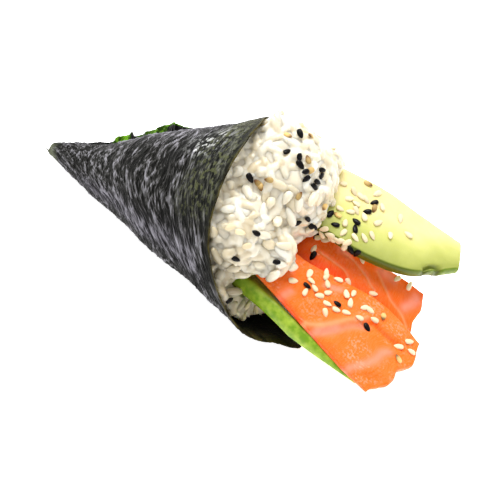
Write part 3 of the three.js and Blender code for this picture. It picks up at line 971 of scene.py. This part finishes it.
# ---- Fillings ----


def upper_face(shape, along, across):
    """Points of a slice's upper face; along and across run from 0 to 1."""
    left = curve_through(shape["left"], along)
    right = curve_through(shape["right"], along)
    face = left + (right - left) * across[..., None]
    face[..., 2] += shape["crown"] * (1 - (2 * across - 1) ** 2)
    return face


def slice_length(shape):
    return np.linalg.norm(np.diff(curve_through(shape["left"], np.linspace(0, 1, 60)), axis=0), axis=1).sum()


def slice_rings(shape, relief, raggedness):
    """Rings of points round a slice, one for each station, with each point's place along and across it.

    relief gives how far a point stands out at places along and across, and raggedness how far the shown end's
    outline strays.
    """
    across = np.linspace(0, 1, SLICE_COLUMNS)
    along = np.linspace(0, 1, SLICE_STATIONS)
    alongs, acrosses = np.meshgrid(along, across, indexing="ij")
    outline = profile_at(across, shape["shown_end"])
    drawn_back = SLICE_END_LENGTH + outline + raggedness * noise_over(across * 11, across * 0, seed=13)
    torn_to = alongs * (1 - drawn_back[None, :] / slice_length(shape) * alongs**3)
    upper = upper_face(shape, torn_to, acrosses)
    near = np.clip(np.stack([along - 0.02, along + 0.02]), 0, 1)
    middles = upper_face(shape, near, np.full(near.shape, 0.5))
    widthwise = upper_face(shape, along, np.ones(len(along))) - upper_face(shape, along, np.zeros(len(along)))
    down = np.cross(widthwise, middles[1] - middles[0])
    down /= np.linalg.norm(down, axis=-1, keepdims=True)
    depth = curve_through(list(enumerate(shape["thickness"])), across)[:, 1]
    hidden_end, shown_end = shape["ends"]
    fullness = np.minimum(1, np.minimum(hidden_end + 3 * along, shown_end + 3 * (1 - along)))
    lower = upper + down[:, None] * (fullness[:, None] * depth[None, :])[..., None]
    upper = upper - down[:, None] * relief(alongs, acrosses)[..., None]
    right = side_arc(upper[:, -1], lower[:, -1], upper[:, -1] - upper[:, -4])
    left = side_arc(lower[:, 0], upper[:, 0], upper[:, 0] - upper[:, 3])
    rings = np.concatenate([upper, right, lower[:, ::-1], left], axis=1)
    side = np.ones(SLICE_SIDE_STEPS)
    ring_across = np.concatenate([across, side, across[::-1], 0 * side])
    downwards = np.linspace(0.1, 0.9, SLICE_SIDE_STEPS)
    ring_under = np.concatenate([0 * across, downwards, 1 + 0 * across, downwards[::-1]])
    return rings, along, ring_across, ring_under


def side_arc(start, end, outwards):
    """The rounded side of a slice between two corners at every station."""
    outwards = outwards / np.linalg.norm(outwards, axis=-1, keepdims=True)
    middle = (start + end) / 2
    bulge = 0.3 * np.linalg.norm(start - end, axis=-1, keepdims=True)
    turns = np.linspace(0, math.pi, SLICE_SIDE_STEPS + 2)[1:-1]
    return np.stack([middle + (start - middle) * math.cos(turn) + outwards * bulge * math.sin(turn)
                     for turn in turns], axis=1)


def slice_piece(name, shape, material, relief, raggedness, marks_at):
    """A slice as one closed mesh, with rounded ends and point values from marks_at(along, across, under)."""
    rings, along, ring_across, ring_under = slice_rings(shape, relief, raggedness)
    columns = SLICE_COLUMNS
    sides = SLICE_SIDE_STEPS
    count = rings.shape[1]
    # Each ring point's partner on the other face, or on the same side.
    partner = np.arange(count)
    partner[:columns] = columns + sides + np.arange(columns)[::-1]
    partner[columns + sides:2 * columns + sides] = np.arange(columns)[::-1]
    partner[columns:columns + sides] = np.arange(columns, columns + sides)[::-1]
    partner[2 * columns + sides:] = np.arange(2 * columns + sides, count)[::-1]
    last = rings[-1]
    centre = (last + last[partner]) / 2
    forward = rings[-1].mean(0) - rings[-4].mean(0)
    forward /= np.linalg.norm(forward)
    half_depth = np.linalg.norm(last - centre, axis=-1, keepdims=True)
    turns = np.linspace(0, math.pi / 2, SLICE_END_STEPS + 1)[1:]
    rounded = [centre + (last - centre) * math.cos(turn * 0.92) + forward * half_depth * 0.5 * math.sin(turn)
               for turn in turns]
    rings = np.concatenate([rings, np.array(rounded)])
    along = np.concatenate([along, np.ones(SLICE_END_STEPS)])
    stations = len(along)
    faces = grid_faces(stations, count, closed=True)
    for start in (0, (stations - 1) * count):
        for column in range(columns - 1):
            corners = (column, column + 1, partner[column + 1], partner[column])
            faces.append([start + corner for corner in corners])
        for side in (columns, 2 * columns + sides):
            faces.append([start + (side - 1 + step) % count for step in range(sides + 2)])
    width = np.linalg.norm(np.array(shape["right"][3]) - np.array(shape["left"][3]))
    alongs = np.repeat(along, count)
    acrosses = np.tile(ring_across, stations)
    unders = np.tile(ring_under, stations)
    lengthwise = [alongs * slice_length(shape) / MAP_UNIT, (acrosses + 0.6 * unders) * width / MAP_UNIT]
    marks = marks_at(alongs, acrosses, unders)
    return new_piece(name, rings.reshape(-1, 3), faces, material, np.stack(lengthwise, -1), marks)


def near_path(along, across, path, width):
    """How near places on a slice are to a path of (along, across) points, from 0 to 1 within a width."""
    places = np.stack([along, across], -1) * SLICE_SCALE
    line = curve_through(np.array(path) * SLICE_SCALE, np.linspace(0, 1, 30))
    best = np.full(along.shape, np.inf)
    for start, end in zip(line[:-1], line[1:]):
        step = end - start
        share = np.clip(((places - start) @ step) / (step @ step), 0, 1)
        best = np.minimum(best, np.linalg.norm(places - start - share[..., None] * step, axis=-1))
    return bell(best, width)


def nearest_of(along, across, paths, width):
    return np.max([near_path(along, across, path, width) for path in paths], axis=0)


class SalmonSettings(bpy.types.PropertyGroup):
    flesh: colour_setting("Flesh", "Colour of the paler slice", 246, 118, 34)
    deep: colour_setting("Deep flesh", "Colour of the deeper slice", 255, 104, 6)
    red: colour_setting("Red flesh", "Colour in the folds", 244, 62, 0)
    # The fat colour also paints the highlight along the front slice's fold.
    fat_and_highlight: colour_setting("Fat", "Colour of the fat lines", 255, 162, 110)
    # Pink for real patches, and for painted highlights and painted shade on the front slice.
    pink: colour_setting("Pink", "Colour of the pale bloom", 252, 156, 132)


class TEMAKI_OT_cut_salmon(bpy.types.Operator):
    """Cut the two slices of salmon"""

    bl_idname = "temaki.cut_salmon"
    bl_label = "Cut salmon"

    def execute(self, context):
        material = salmon_material(context.scene.temaki_salmon)
        hand_over(salmon_front(material), "salmon", "salmon_slice_front")
        hand_over(salmon_back(material), "salmon", "salmon_slice_back")
        return {"FINISHED"}


def salmon_relief(along, across, seed):
    """How far the flesh stands out: broad swells, flakes and fibres, in millimetres."""
    broad = 0.5 * noise_over(along * 6, across * 2.5, seed=seed)
    flakes = 0.22 * noise_over(along * 26, across * 5, seed=seed + 1)
    fibres = 0.1 * noise_over(along * 70, across * 9, seed=seed + 2)
    return broad + flakes + fibres


def salmon_front(material):
    def relief(along, across):
        folded = 0.7 * near_path(along, across, FRONT_FOLD, 2.2)
        folded = folded - 0.5 * near_path(along, across, FRONT_SHADE, 2)
        return salmon_relief(along, across, 21) + folded - 0.6 * near_path(along, across, FRONT_GROOVE, 1.6)

    def marks_at(along, across, under):
        deep = 0.5 * nearest_of(along, across, FRONT_DEEP, 2)
        deep = deep + 0.7 * near_path(along, across, FRONT_GROOVE, 1.5)
        deep = deep + 0.15 * (1 - rise(along, 0.62, 0.74))
        pink = 0.65 * nearest_of(along, across, FRONT_PINK, 1.6)
        # Pink along the shade line below the fold is painted shade.
        pink = pink + 0.5 * near_path(along, across, FRONT_SHADE, 1.4)
        return {
            "deepness": np.clip(0.12 + deep + 0.35 * under, 0, 1),
            # Painted highlight along the fold's crest.
            "fat_line": 0.75 * near_path(along, across, FRONT_FOLD, 1.1),
            "pink": np.clip(pink, 0, 1),
        }

    return slice_piece("salmon_front", SALMON_FRONT, material, relief, 0.35, marks_at)


def salmon_back(material):
    def relief(along, across):
        return salmon_relief(along, across, 31) - 0.3 * nearest_of(along, across, BACK_LINES, 0.9)

    def marks_at(along, across, under):
        return {
            "deepness": np.clip(0.5 + 0.35 * nearest_of(along, across, BACK_RED, 4) + 0.2 * under, 0, 1),
            "fat_line": 0.75 * nearest_of(along, across, BACK_LINES, 0.6),
            "pink": 0.8 * nearest_of(along, across, BACK_PINK, 2.4),
        }

    return slice_piece("salmon_back", SALMON_BACK, material, relief, 0.35, marks_at)


def salmon_material(settings):
    """Moist raw salmon: orange flesh with fine fibres, pale fat lines, pink patches, painted highlights and
    painted shade.
    """
    material, tree, shader = new_material(
        "raw_salmon", Subsurface_Weight=0.25, Subsurface_Radius=(1.0, 0.4, 0.15), Subsurface_Scale=0.0015,
        Specular_IOR_Level=0.05, Coat_Roughness=0.08)
    deepness = mark_of(tree, "deepness")
    flesh = ramp(tree, deepness, (0.0, settings.flesh), (0.6, settings.deep), (1.0, settings.red))
    paler = maths(tree, "POWER", maths(tree, "SUBTRACT", 1.0, deepness), 3.0)
    flecks = times(tree, mottle(tree, 90.0, 0.42, 0.62), mottle(tree, 1300.0, 0.48, 0.62))
    flesh = layered(
        tree, flesh,
        (streaks(tree, spacing=0.07, length=0.35, waver=0.3, sharpness=7.0), 0.2, settings.fat_and_highlight),
        ("pink", 1, settings.pink), ("fat_line", 1, settings.fat_and_highlight),
        (times(tree, flecks, paler), 0.6, tint(255, 196, 172)),
    )
    wet = mottle(tree, 160.0, 0.35, 0.65)
    feed(tree, shader, {
        "Base Color": flesh,
        "Roughness": times_plus(tree, wet, 0.12, 0.3),
        "Coat Weight": times_plus(tree, wet, -0.3, 0.45),
        "Normal": moist_skin(tree, 520.0, 0.0005, 0.4),
    })
    return material


class AvocadoSettings(bpy.types.PropertyGroup):
    heart: colour_setting("Heart", "Colour next to the stone", 240, 226, 160)
    middle: colour_setting("Middle", "Colour half way out", 200, 202, 110)
    outer: colour_setting("Outer", "Colour under the peel", 154, 161, 72)
    peeled: colour_setting("Peeled side", "Colour of the side the peel came off", 112, 154, 18)


class TEMAKI_OT_cut_avocado(bpy.types.Operator):
    """Cut the two slices of avocado"""

    bl_idname = "temaki.cut_avocado"
    bl_label = "Cut avocado"

    def execute(self, context):
        material = avocado_material(context.scene.temaki_avocado)
        hand_over(avocado_near(material), "avocado", "avocado_slice_near")
        hand_over(avocado_far(material), "avocado", "avocado_slice_far")
        return {"FINISHED"}


def avocado_relief(along, across, seed):
    """How far the fruit stands out: broad swells and shallow dents, in millimetres."""
    broad = 0.3 * noise_over(along * 7, across * 2, seed=seed)
    return broad + 0.1 * noise_over(along * 22, across * 6, seed=seed + 1)


def avocado_near(material):
    def relief(along, across):
        return avocado_relief(along, across, 41)

    def marks_at(along, across, under):
        everywhere = 1 + 0 * across
        return {
            "greenness": everywhere,
            "peel": everywhere,
            "olive": 0 * across,
            "cut_edge": bell(across - 1, 0.07),
        }

    return slice_piece("avocado_near", AVOCADO_NEAR, material, relief, 0, marks_at)


def avocado_far(material):
    def relief(along, across):
        return avocado_relief(along, across, 51) - 1.5 * near_path(along, across, NICK, 1.1)

    def marks_at(along, across, under):
        to_tip = rise(along, 0.75, 1)
        green = np.clip(0.88 - across * (1.3 - 0.35 * to_tip) + 0.1 * to_tip, 0, 1)
        side = (across < 0.01) * rise(under, 0.02, 0.1)
        nick = 0.9 * near_path(along, across, NICK, 0.9)
        # The far slice's peeled side darkens to olive as painted shade, most towards the hidden end; the torn
        # nick takes the same olive.
        olive = np.clip(1.1 - 0.5 * rise(along, 0.7, 0.95) + nick, 0, 1)
        return {"greenness": green, "peel": np.maximum(side, nick), "olive": olive, "cut_edge": 0 * across}

    return slice_piece("avocado_far", AVOCADO_FAR, material, relief, 0.1, marks_at)


def avocado_material(settings):
    """Cut avocado: butter yellow at the stone to green under the peel, with a mottled peeled side, olive as
    painted shade on the far slice.
    """
    material, tree, shader = new_material(
        "cut_avocado", Subsurface_Weight=0.2, Subsurface_Radius=(1.0, 0.9, 0.3), Subsurface_Scale=0.002,
        Specular_IOR_Level=0.3, Coat_Weight=0.1, Coat_Roughness=0.25)
    uneven = mottle(tree, 140.0, 0.3, 0.7)
    greenness = times_plus(tree, maths(tree, "SUBTRACT", uneven, 0.5), 0.12, mark_of(tree, "greenness"))
    flesh = ramp(tree, greenness, (0.0, settings.heart), (0.42, settings.middle), (0.9, settings.outer))
    peeled = blended(tree, mottle(tree, 420.0, 0.3, 0.7), settings.peeled, tint(164, 190, 56))
    # Olive as painted shade on the far slice's peeled side.
    peeled = layered(tree, peeled, ("olive", 1, tint(82, 96, 8)))
    feed(tree, shader, {
        "Base Color": layered(tree, flesh, ("peel", 1, peeled), ("cut_edge", 1, tint(214, 204, 92))),
        "Roughness": times_plus(tree, uneven, 0.12, 0.36),
        "Normal": moist_skin(tree, 700.0, 0.0003, 0.3),
    })
    return material


# ---- Rice ----


class RiceSettings(bpy.types.PropertyGroup):
    grain_length: length_setting("Grain length", "Length of a cooked grain", 0.007)
    grain_width: length_setting("Grain width", "Width of a cooked grain", 0.0032)
    spacing: length_setting("Spacing", "Least distance between two packed grains", 0.0022)
    loose_spacing: length_setting("Loose spacing", "Least distance between two loose grains", 0.0042)
    core_depth: length_setting("Core depth", "How far the packed core lies below the heap's outline", 0.0009)
    sink: length_setting("Sink", "How far a packed grain's middle lies below the core's surface", 0.0004)
    join_detail: length_setting("Join detail", "Fineness of the joins between packed grains", 0.00046)
    seed: IntProperty(name="Seed", description="Seed of the grains' places and turns", default=4)
    pale: colour_setting("Pale", "Colour of the whitest grains", 240, 233, 215)
    warm: colour_setting("Warm", "Colour of the more see-through grains", 216, 202, 172)
    # Painted shade on the grains low beside the seaweed.
    dim: colour_setting("Dim", "Colour of the moist grains low beside the seaweed", 142, 134, 110)


class TEMAKI_OT_heap_rice(bpy.types.Operator):
    """Heap the rice: a packed core and the grains on it"""

    bl_idname = "temaki.heap_rice"
    bl_label = "Heap rice"

    def execute(self, context):
        settings = context.scene.temaki_rice
        material = rice_material(settings)
        shapes = grain_shapes(settings)
        core = rice_core(settings, material)
        packed = scattered_grains("rice_packed", core, {
            "Where": "open", "Spacing": settings.spacing, "Tilt": 0.4, "Sink": settings.sink,
            "Seed": settings.seed, "Material": material, "Shapes": shapes,
        })
        packed = fused(packed, material, settings.join_detail)
        loose = scattered_grains("rice_loose", core, {
            "Where": "loose", "Spacing": settings.loose_spacing, "Tilt": 0.5, "Sink": -2 * settings.sink,
            "Seed": settings.seed + 10, "Material": material, "Shapes": shapes,
        })
        for shape in list(shapes.objects):
            bpy.data.objects.remove(shape)
        bpy.data.collections.remove(shapes)
        for piece in (core, packed, loose):
            hand_over(piece, "rice", "rice_heap")
        return {"FINISHED"}


def rice_core(settings, material):
    """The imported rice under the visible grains: the heap's outline, sunk by part of a grain."""
    mesh = frame["nodes"]["rice_heap"].data.copy()
    changed(mesh, lambda shell: bmesh.ops.remove_doubles(shell, verts=shell.verts, dist=1e-6))
    core = placed_object("rice_core", mesh)
    evened(core, CORE_DETAIL * MM, 4)
    sunk = core.modifiers.new("sunk", "DISPLACE")
    sunk.strength = -settings.core_depth
    sunk.mid_level = 0
    core = made_plain(core, material)
    mark_rice(core.data)
    return core


def mark_rice(mesh):
    """Marks where the core lies open near the mouth, with nothing right over it, and where rice gets painted
    shade.
    """
    covers = trees_of(*FILLINGS)
    places = points_of(mesh) / MM + MIDDLE_FROM_TIP
    reach, angle = places_round_cone(places)
    outside = reach > rim_reach(angle) - OPEN_DEPTH
    near = COVER_REACH * MM
    covered = [any(cover.ray_cast(vertex.co, vertex.normal, near)[0] is not None for cover in covers)
               for vertex in mesh.vertices]
    bare = outside & ~np.array(covered)
    add_marks(mesh, {
        "open": bare,
        "loose": bare * near_spots(places, LOOSE_RICE),
        "tone": np.full(len(places), 0.5),
        "dim": near_spots(places, SHADED_RICE),
    })


def near_spots(places, spots):
    """How near places are to any of the spots, from 0 to 1."""
    return np.max([bell(np.linalg.norm(places - spot, axis=1), width) for spot, width in spots], axis=0)


def closed_rings(name, rings, half_length, end_height=0):
    """A closed shape of rings of points round X, between two end points."""
    columns = len(rings[0])
    points = np.vstack([[[-half_length, end_height, 0]], *rings, [[half_length, end_height, 0]]])
    faces = grid_faces(len(rings), columns, start=1, closed=True)
    last = len(points) - 1
    for step in range(columns):
        beside = (step + 1) % columns
        faces.append([0, 1 + beside, 1 + step])
        faces.append([last, last - columns + step, last - columns + beside])
    mesh = new_mesh(name, points.tolist(), faces)
    face_outwards(mesh)
    return bpy.data.objects.new(name, mesh)


def grain_shapes(settings):
    """A few cooked grains, about the origin and lying along X, in a collection of their own."""
    shapes = bpy.data.collections.new("grain_shapes")
    width = settings.grain_width
    for number, kind in enumerate(GRAIN_KINDS):
        length = settings.grain_length * kind["length"]
        rings = []
        for turn in GRAIN_TURNS:
            x = -math.cos(turn)
            fullness = math.sin(turn) * (1 - kind["taper"] * x)
            rings.append(np.stack([
                np.full(GRAIN_RING.shape, x * length / 2),
                fullness * width / 2 * np.cos(GRAIN_RING) + kind["bend"] * length * (x**2 - 0.4),
                fullness * width * 0.44 * np.sin(GRAIN_RING)], -1))
        shape = closed_rings(f"grain_{number}", rings, length / 2, kind["bend"] * length * 0.6)
        shapes.objects.link(shape)
    return shapes


def scattered_grains(name, core, values):
    """Real grains on the core, without those that would cut into the seaweed."""
    grains = laid(placed_object(name, core.data.copy()), "scatter_grains", scatter_tree, values)
    clear_of_seaweed(grains.data)
    return grains


def clear_of_seaweed(mesh):
    """Takes out each grain that reaches into the seaweed's wall or through it."""
    wrap = tree_of(bpy.data.objects["nori_wrap"])
    points = points_of(mesh)
    found = [wrap.find_nearest(point) for point in points]
    near = np.array([tuple(hit[0]) for hit in found])
    facing = np.array([tuple(hit[1]) for hit in found])
    reach, angle = places_round_cone(points / MM + MIDDLE_FROM_TIP)
    in_wall = ((points - near) * facing).sum(1) < WALL_CLEARANCE * MM
    through = (outwards_at(angle) * facing).sum(1) > 0
    cutting = (reach < rim_reach(angle) - 1) & (in_wall | through)
    cutting = np.repeat(cutting.reshape(-1, GRAIN_POINTS).any(1), GRAIN_POINTS)

    def take_out(shell):
        taken = [vertex for vertex, cuts in zip(shell.verts, cutting) if cuts]
        bmesh.ops.delete(shell, geom=taken, context="VERTS")

    changed(mesh, take_out)


def fused(grains, material, detail):
    """The grains with soft joins where they touch; each place keeps the tone of its grain."""
    separate = tree_of(grains)
    tones = np.zeros(len(grains.data.vertices))
    grains.data.attributes["tone"].data.foreach_get("value", tones)
    tones = [tones[polygon.vertices[0]] for polygon in grains.data.polygons]
    evened(grains, detail, 2)
    grains = made_plain(grains, material)
    mesh = grains.data
    add_marks(mesh, {
        "tone": np.array([tones[separate.find_nearest(vertex.co)[2]] for vertex in mesh.vertices]),
        "dim": near_spots(points_of(mesh) / MM + MIDDLE_FROM_TIP, SHADED_RICE),
    })
    return grains


def rice_material(settings):
    """Moist cooked rice: white to slightly see-through, with a soft gloss and painted shade low beside the
    seaweed.
    """
    material, tree, shader = new_material(
        "cooked_rice", Subsurface_Weight=0.9, Subsurface_Radius=(1.0, 0.94, 0.82), Subsurface_Scale=0.003,
        Roughness=0.3, Coat_Roughness=0.12)
    feed(tree, shader, {
        "Base Color": layered(tree, settings.pale, ("tone", 1, settings.warm), ("dim", 1, settings.dim)),
        "Coat Weight": times(tree, mottle(tree, 260.0, 0.4, 0.6), 0.3),
        "Normal": moist_skin(tree, 800.0, 0.0002, 0.3),
    })
    return material


# ---- Sesame ----


class SeedSettings(bpy.types.PropertyGroup):
    length: length_setting("Length", "Length of a seed", 0.0033)
    width: length_setting("Width", "Width of a seed", 0.0019)
    thickness: length_setting("Thickness", "Thickness of a seed", 0.001)
    unseen: IntProperty(name="Unseen", description="Seeds of each kind on the rice's far side", default=5)
    black: colour_setting("Black", "Colour of black seeds", 12, 8, 8)
    toasted: colour_setting("Toasted", "Colour of toasted seeds", 244, 206, 132)
    ivory: colour_setting("Ivory", "Colour of pale seeds", 250, 232, 192)


class TEMAKI_OT_sprinkle_sesame(bpy.types.Operator):
    """Sprinkle the three kinds of sesame seeds"""

    bl_idname = "temaki.sprinkle_sesame"
    bl_label = "Sprinkle sesame"

    def execute(self, context):
        settings = context.scene.temaki_seeds
        rice = trees_of("rice_packed", "rice_loose", "rice_core")
        food = rice + trees_of(*FILLINGS, "nori_wrap")
        kinds = (
            ("sesame_black", BLACK_SEEDS_SEEN_AT, settings.black, 0.16, 0.0),
            ("sesame_toasted", TOASTED_SEEDS_SEEN_AT, settings.toasted, 0.6, 0.85),
            ("sesame_ivory", IVORY_SEEDS_SEEN_AT, settings.ivory, 0.2, 0.0),
        )
        for number, (name, seen_at, colour, variety, burnt) in enumerate(kinds):
            places = [resting_place(food, across, down) for across, down in seen_at]
            places += unseen_places(rice, settings.unseen, number)
            material = seed_material(name, colour, variety, burnt)
            seeds = sesame_piece(name, places, settings, material, number)
            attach(seeds, "root")
        return {"FINISHED"}


def camera_matrix():
    """The camera's place and turn, in the frame."""
    out = np.array([
        math.cos(CAMERA_ELEVATION) * math.sin(CAMERA_AZIMUTH),
        -math.cos(CAMERA_ELEVATION) * math.cos(CAMERA_AZIMUTH),
        math.sin(CAMERA_ELEVATION)])
    place = Vector((CAMERA_TARGET + out * CAMERA_DISTANCE - MIDDLE_FROM_TIP) * MM)
    turn = (-Vector(out)).to_track_quat("-Z", "Y").to_matrix() @ Matrix.Rotation(CAMERA_ROLL, 3, "Z")
    return Matrix.Translation(place) @ turn.to_4x4()


def sight_line(across, down):
    """The camera's place and the direction in which it sees a place in its frame."""
    matrix = camera_matrix()
    reach = math.tan(CAMERA_VIEW_ANGLE / 2)
    middle = FRAME_SIDE / 2
    aim = Vector(((across - middle) / middle * reach, (middle - down) / middle * reach, -1))
    return matrix.translation, (matrix.to_3x3() @ aim).normalized()


def first_hit(food, start, direction):
    """The nearest point of the food along a line, and the way it faces there."""
    hits = [tree.ray_cast(start, direction) for tree in food]
    hits = [hit for hit in hits if hit[0] is not None]
    if not hits:
        return None
    nearest = min(hits, key=lambda hit: hit[3])
    facing = nearest[1] if nearest[1].dot(direction) < 0 else -nearest[1]
    return nearest[0], facing


def resting_place(food, across, down):
    """Where a seed seen at a place in the camera's frame lies, and which way it faces."""
    hit = first_hit(food, *sight_line(across, down))
    if hit is None:
        raise ValueError(f"no food under the seed seen at {across}, {down}")
    facing = hit[1].copy()
    for right, below in ((1, 0), (-1, 0), (0, 1), (0, -1)):
        beside = sight_line(across + right * BESIDE_SEED, down + below * BESIDE_SEED)
        near = first_hit(food, *beside)
        if near is not None and (near[0] - hit[0]).length < NEAR_SEED * MM:
            facing += near[1]
    return hit[0], facing.normalized()


def unseen_places(rice, count, seed):
    """Random places for seeds on the far side of the rice, where it faces up but away from the camera."""
    camera = camera_matrix().translation
    spread = np.random.default_rng(seed).uniform(*UNSEEN_SEED_AREA, (UNSEEN_SEED_TRIES * count, 3))
    places = []
    for start in (spread - MIDDLE_FROM_TIP) * MM:
        hit = first_hit(rice, Vector(start), Vector((0, 0, -1)))
        if hit is None:
            continue
        towards_camera = hit[1].dot((camera - hit[0]).normalized())
        if towards_camera < TURNED_AWAY and hit[1].z > TURNED_UP:
            places.append(hit)
    if len(places) < count:
        raise ValueError(f"only {len(places)} places for {count} seeds on the rice's far side")
    return places[:count]


def seed_shape(settings):
    """A flat drop with one pointed end, lying along X."""
    rings = []
    for turn in GRAIN_TURNS:
        x = -math.cos(turn)
        fullness = math.sin(turn) ** (1.05 + 0.35 * x) * (1 - 0.22 * x)
        rings.append(np.stack([
            np.full(SEED_RING.shape, x * settings.length / 2),
            fullness * settings.width / 2 * np.cos(SEED_RING),
            fullness * settings.thickness / 2 * np.sin(SEED_RING)], -1))
    shape = closed_rings("seed_shape", rings, settings.length / 2)
    add_marks(shape.data, {"point": rise(points_of(shape.data)[:, 0] / settings.length, -0.05, 0.4)})
    return shape


def sesame_piece(name, places, settings, material, number):
    points = [place + facing * settings.thickness * 0.3 for place, facing in places]
    mesh = new_mesh(name, [tuple(point) for point in points], [])
    facings = np.array([tuple(facing) for _, facing in places], np.float32)
    mesh.attributes.new("facing", "FLOAT_VECTOR", "POINT").data.foreach_set("vector", facings.ravel())
    shape = seed_shape(settings)
    seeds = laid(placed_object(name, mesh), "lay_seeds", seeds_tree, {
        "Shape": shape, "Seed": 12 + 10 * number, "Material": material})
    bpy.data.objects.remove(shape)
    return seeds


def seed_material(name, colour, variety, burnt):
    """A seed's skin: how much darker the darkest seeds are, and how burnt their points."""
    material, tree, shader = new_material(name + "_skin", Roughness=0.3, Specular_IOR_Level=0.15)
    darker = tuple(part * (1 - variety) for part in tuple(colour)[:3]) + (1.0,)
    feed(tree, shader, {
        "Base Color": layered(tree, colour, ("tone", 1, darker), ("point", burnt, tint(88, 38, 12))),
        "Normal": moist_skin(tree, 1800.0, 0.0001, 0.3),
    })
    return material


# ---- Stage ----


class StageSettings(bpy.types.PropertyGroup):
    room_light: FloatProperty(
        name="Room light", description="Strength of the light from all round", default=0.62)
    key_power: FloatProperty(
        name="Key light", description="Power of the main soft light", default=4.5, unit="POWER")
    side_power: FloatProperty(
        name="Side light", description="Power of the low light behind the tip", default=1.2, unit="POWER")
    floor_glow: FloatProperty(
        name="Floor glow", description="Light of the floor itself, which softens the shadow", default=0.85)
    floor: colour_setting("Floor", "Colour of the floor", 250, 250, 250)


class TEMAKI_OT_set_stage(bpy.types.Operator):
    """Set the floor, the soft lights and the camera"""

    bl_idname = "temaki.set_stage"
    bl_label = "Set stage"

    def execute(self, context):
        settings = context.scene.temaki_stage
        add_floor(settings)
        add_lights(settings)
        add_camera()
        context.scene.view_settings.view_transform = "Standard"
        return {"FINISHED"}


def add_floor(settings):
    material, tree, shader = new_material("pale_floor", Roughness=0.9, Specular_IOR_Level=0.1)
    feed(tree, shader, {
        "Base Color": settings.floor,
        "Emission Color": (1, 1, 1, 1),
        "Emission Strength": settings.floor_glow,
    })
    half = 2.0
    below = -0.0004
    corners = [(-half, -half, below), (half, -half, below), (half, half, below), (-half, half, below)]
    mesh = new_mesh("floor", corners, [(0, 1, 2, 3)])
    mesh.materials.append(material)
    floor = placed_object("floor", mesh)


def add_area_light(name, place, aim, size, power):
    data = bpy.data.lights.new(name, "AREA")
    data.size = size
    data.energy = power
    light = placed_object(name, data)
    light.location = place
    light.rotation_mode = "QUATERNION"
    light.rotation_quaternion = (Vector(aim) - Vector(place)).to_track_quat("-Z", "Y")


def add_lights(settings):
    world = bpy.data.worlds.new("studio")
    world.use_nodes = True
    background = world.node_tree.nodes["Background"]
    feed(world.node_tree, background.inputs, {"Color": (1, 1, 1, 1), "Strength": settings.room_light})
    bpy.context.scene.world = world
    aim = (0.02, 0, 0.03)
    add_area_light("key_light", (-0.05, 0.12, 0.6), aim, 0.4, settings.key_power)
    add_area_light("side_light", (-0.45, 0.2, 0.22), aim, 0.14, settings.side_power)


def add_camera():
    data = bpy.data.cameras.new("camera")
    data.angle = CAMERA_VIEW_ANGLE
    data.clip_start = 0.01
    camera = placed_object("camera", data)
    camera.matrix_world = camera_matrix()
    bpy.context.scene.camera = camera


# ---- Add-on ----


class TEMAKI_PT_pieces(bpy.types.Panel):
    bl_label = "Temaki hand roll"
    bl_idname = "TEMAKI_PT_pieces"
    bl_space_type = "VIEW_3D"
    bl_region_type = "UI"
    bl_category = "Temaki"

    def draw(self, context):
        for operator in OPERATORS:
            self.layout.operator(operator.bl_idname)
        for name in SETTINGS:
            settings = getattr(context.scene, name)
            box = self.layout.box()
            for field in type(settings).__annotations__:
                box.prop(settings, field)


OPERATORS = (
    TEMAKI_OT_set_stage,
    TEMAKI_OT_wrap_nori,
    TEMAKI_OT_cut_salmon,
    TEMAKI_OT_cut_avocado,
    TEMAKI_OT_heap_rice,
    TEMAKI_OT_sprinkle_sesame,
)
SETTINGS = {
    "temaki_stage": StageSettings,
    "temaki_nori": NoriSettings,
    "temaki_salmon": SalmonSettings,
    "temaki_avocado": AvocadoSettings,
    "temaki_rice": RiceSettings,
    "temaki_seeds": SeedSettings,
}


def register():
    for settings in SETTINGS.values():
        bpy.utils.register_class(settings)
    for name, settings in SETTINGS.items():
        setattr(bpy.types.Scene, name, PointerProperty(type=settings))
    for operator in OPERATORS:
        bpy.utils.register_class(operator)
    bpy.utils.register_class(TEMAKI_PT_pieces)


def unregister():
    bpy.utils.unregister_class(TEMAKI_PT_pieces)
    for operator in reversed(OPERATORS):
        bpy.utils.unregister_class(operator)
    for name, settings in reversed(SETTINGS.items()):
        delattr(bpy.types.Scene, name)
        bpy.utils.unregister_class(settings)


def main():
    register()
    bpy.ops.temaki.set_stage()
    bpy.ops.temaki.wrap_nori()
    bpy.ops.temaki.cut_salmon()
    bpy.ops.temaki.cut_avocado()
    bpy.ops.temaki.heap_rice()
    bpy.ops.temaki.sprinkle_sesame()


if __name__ == "__main__":
    main()
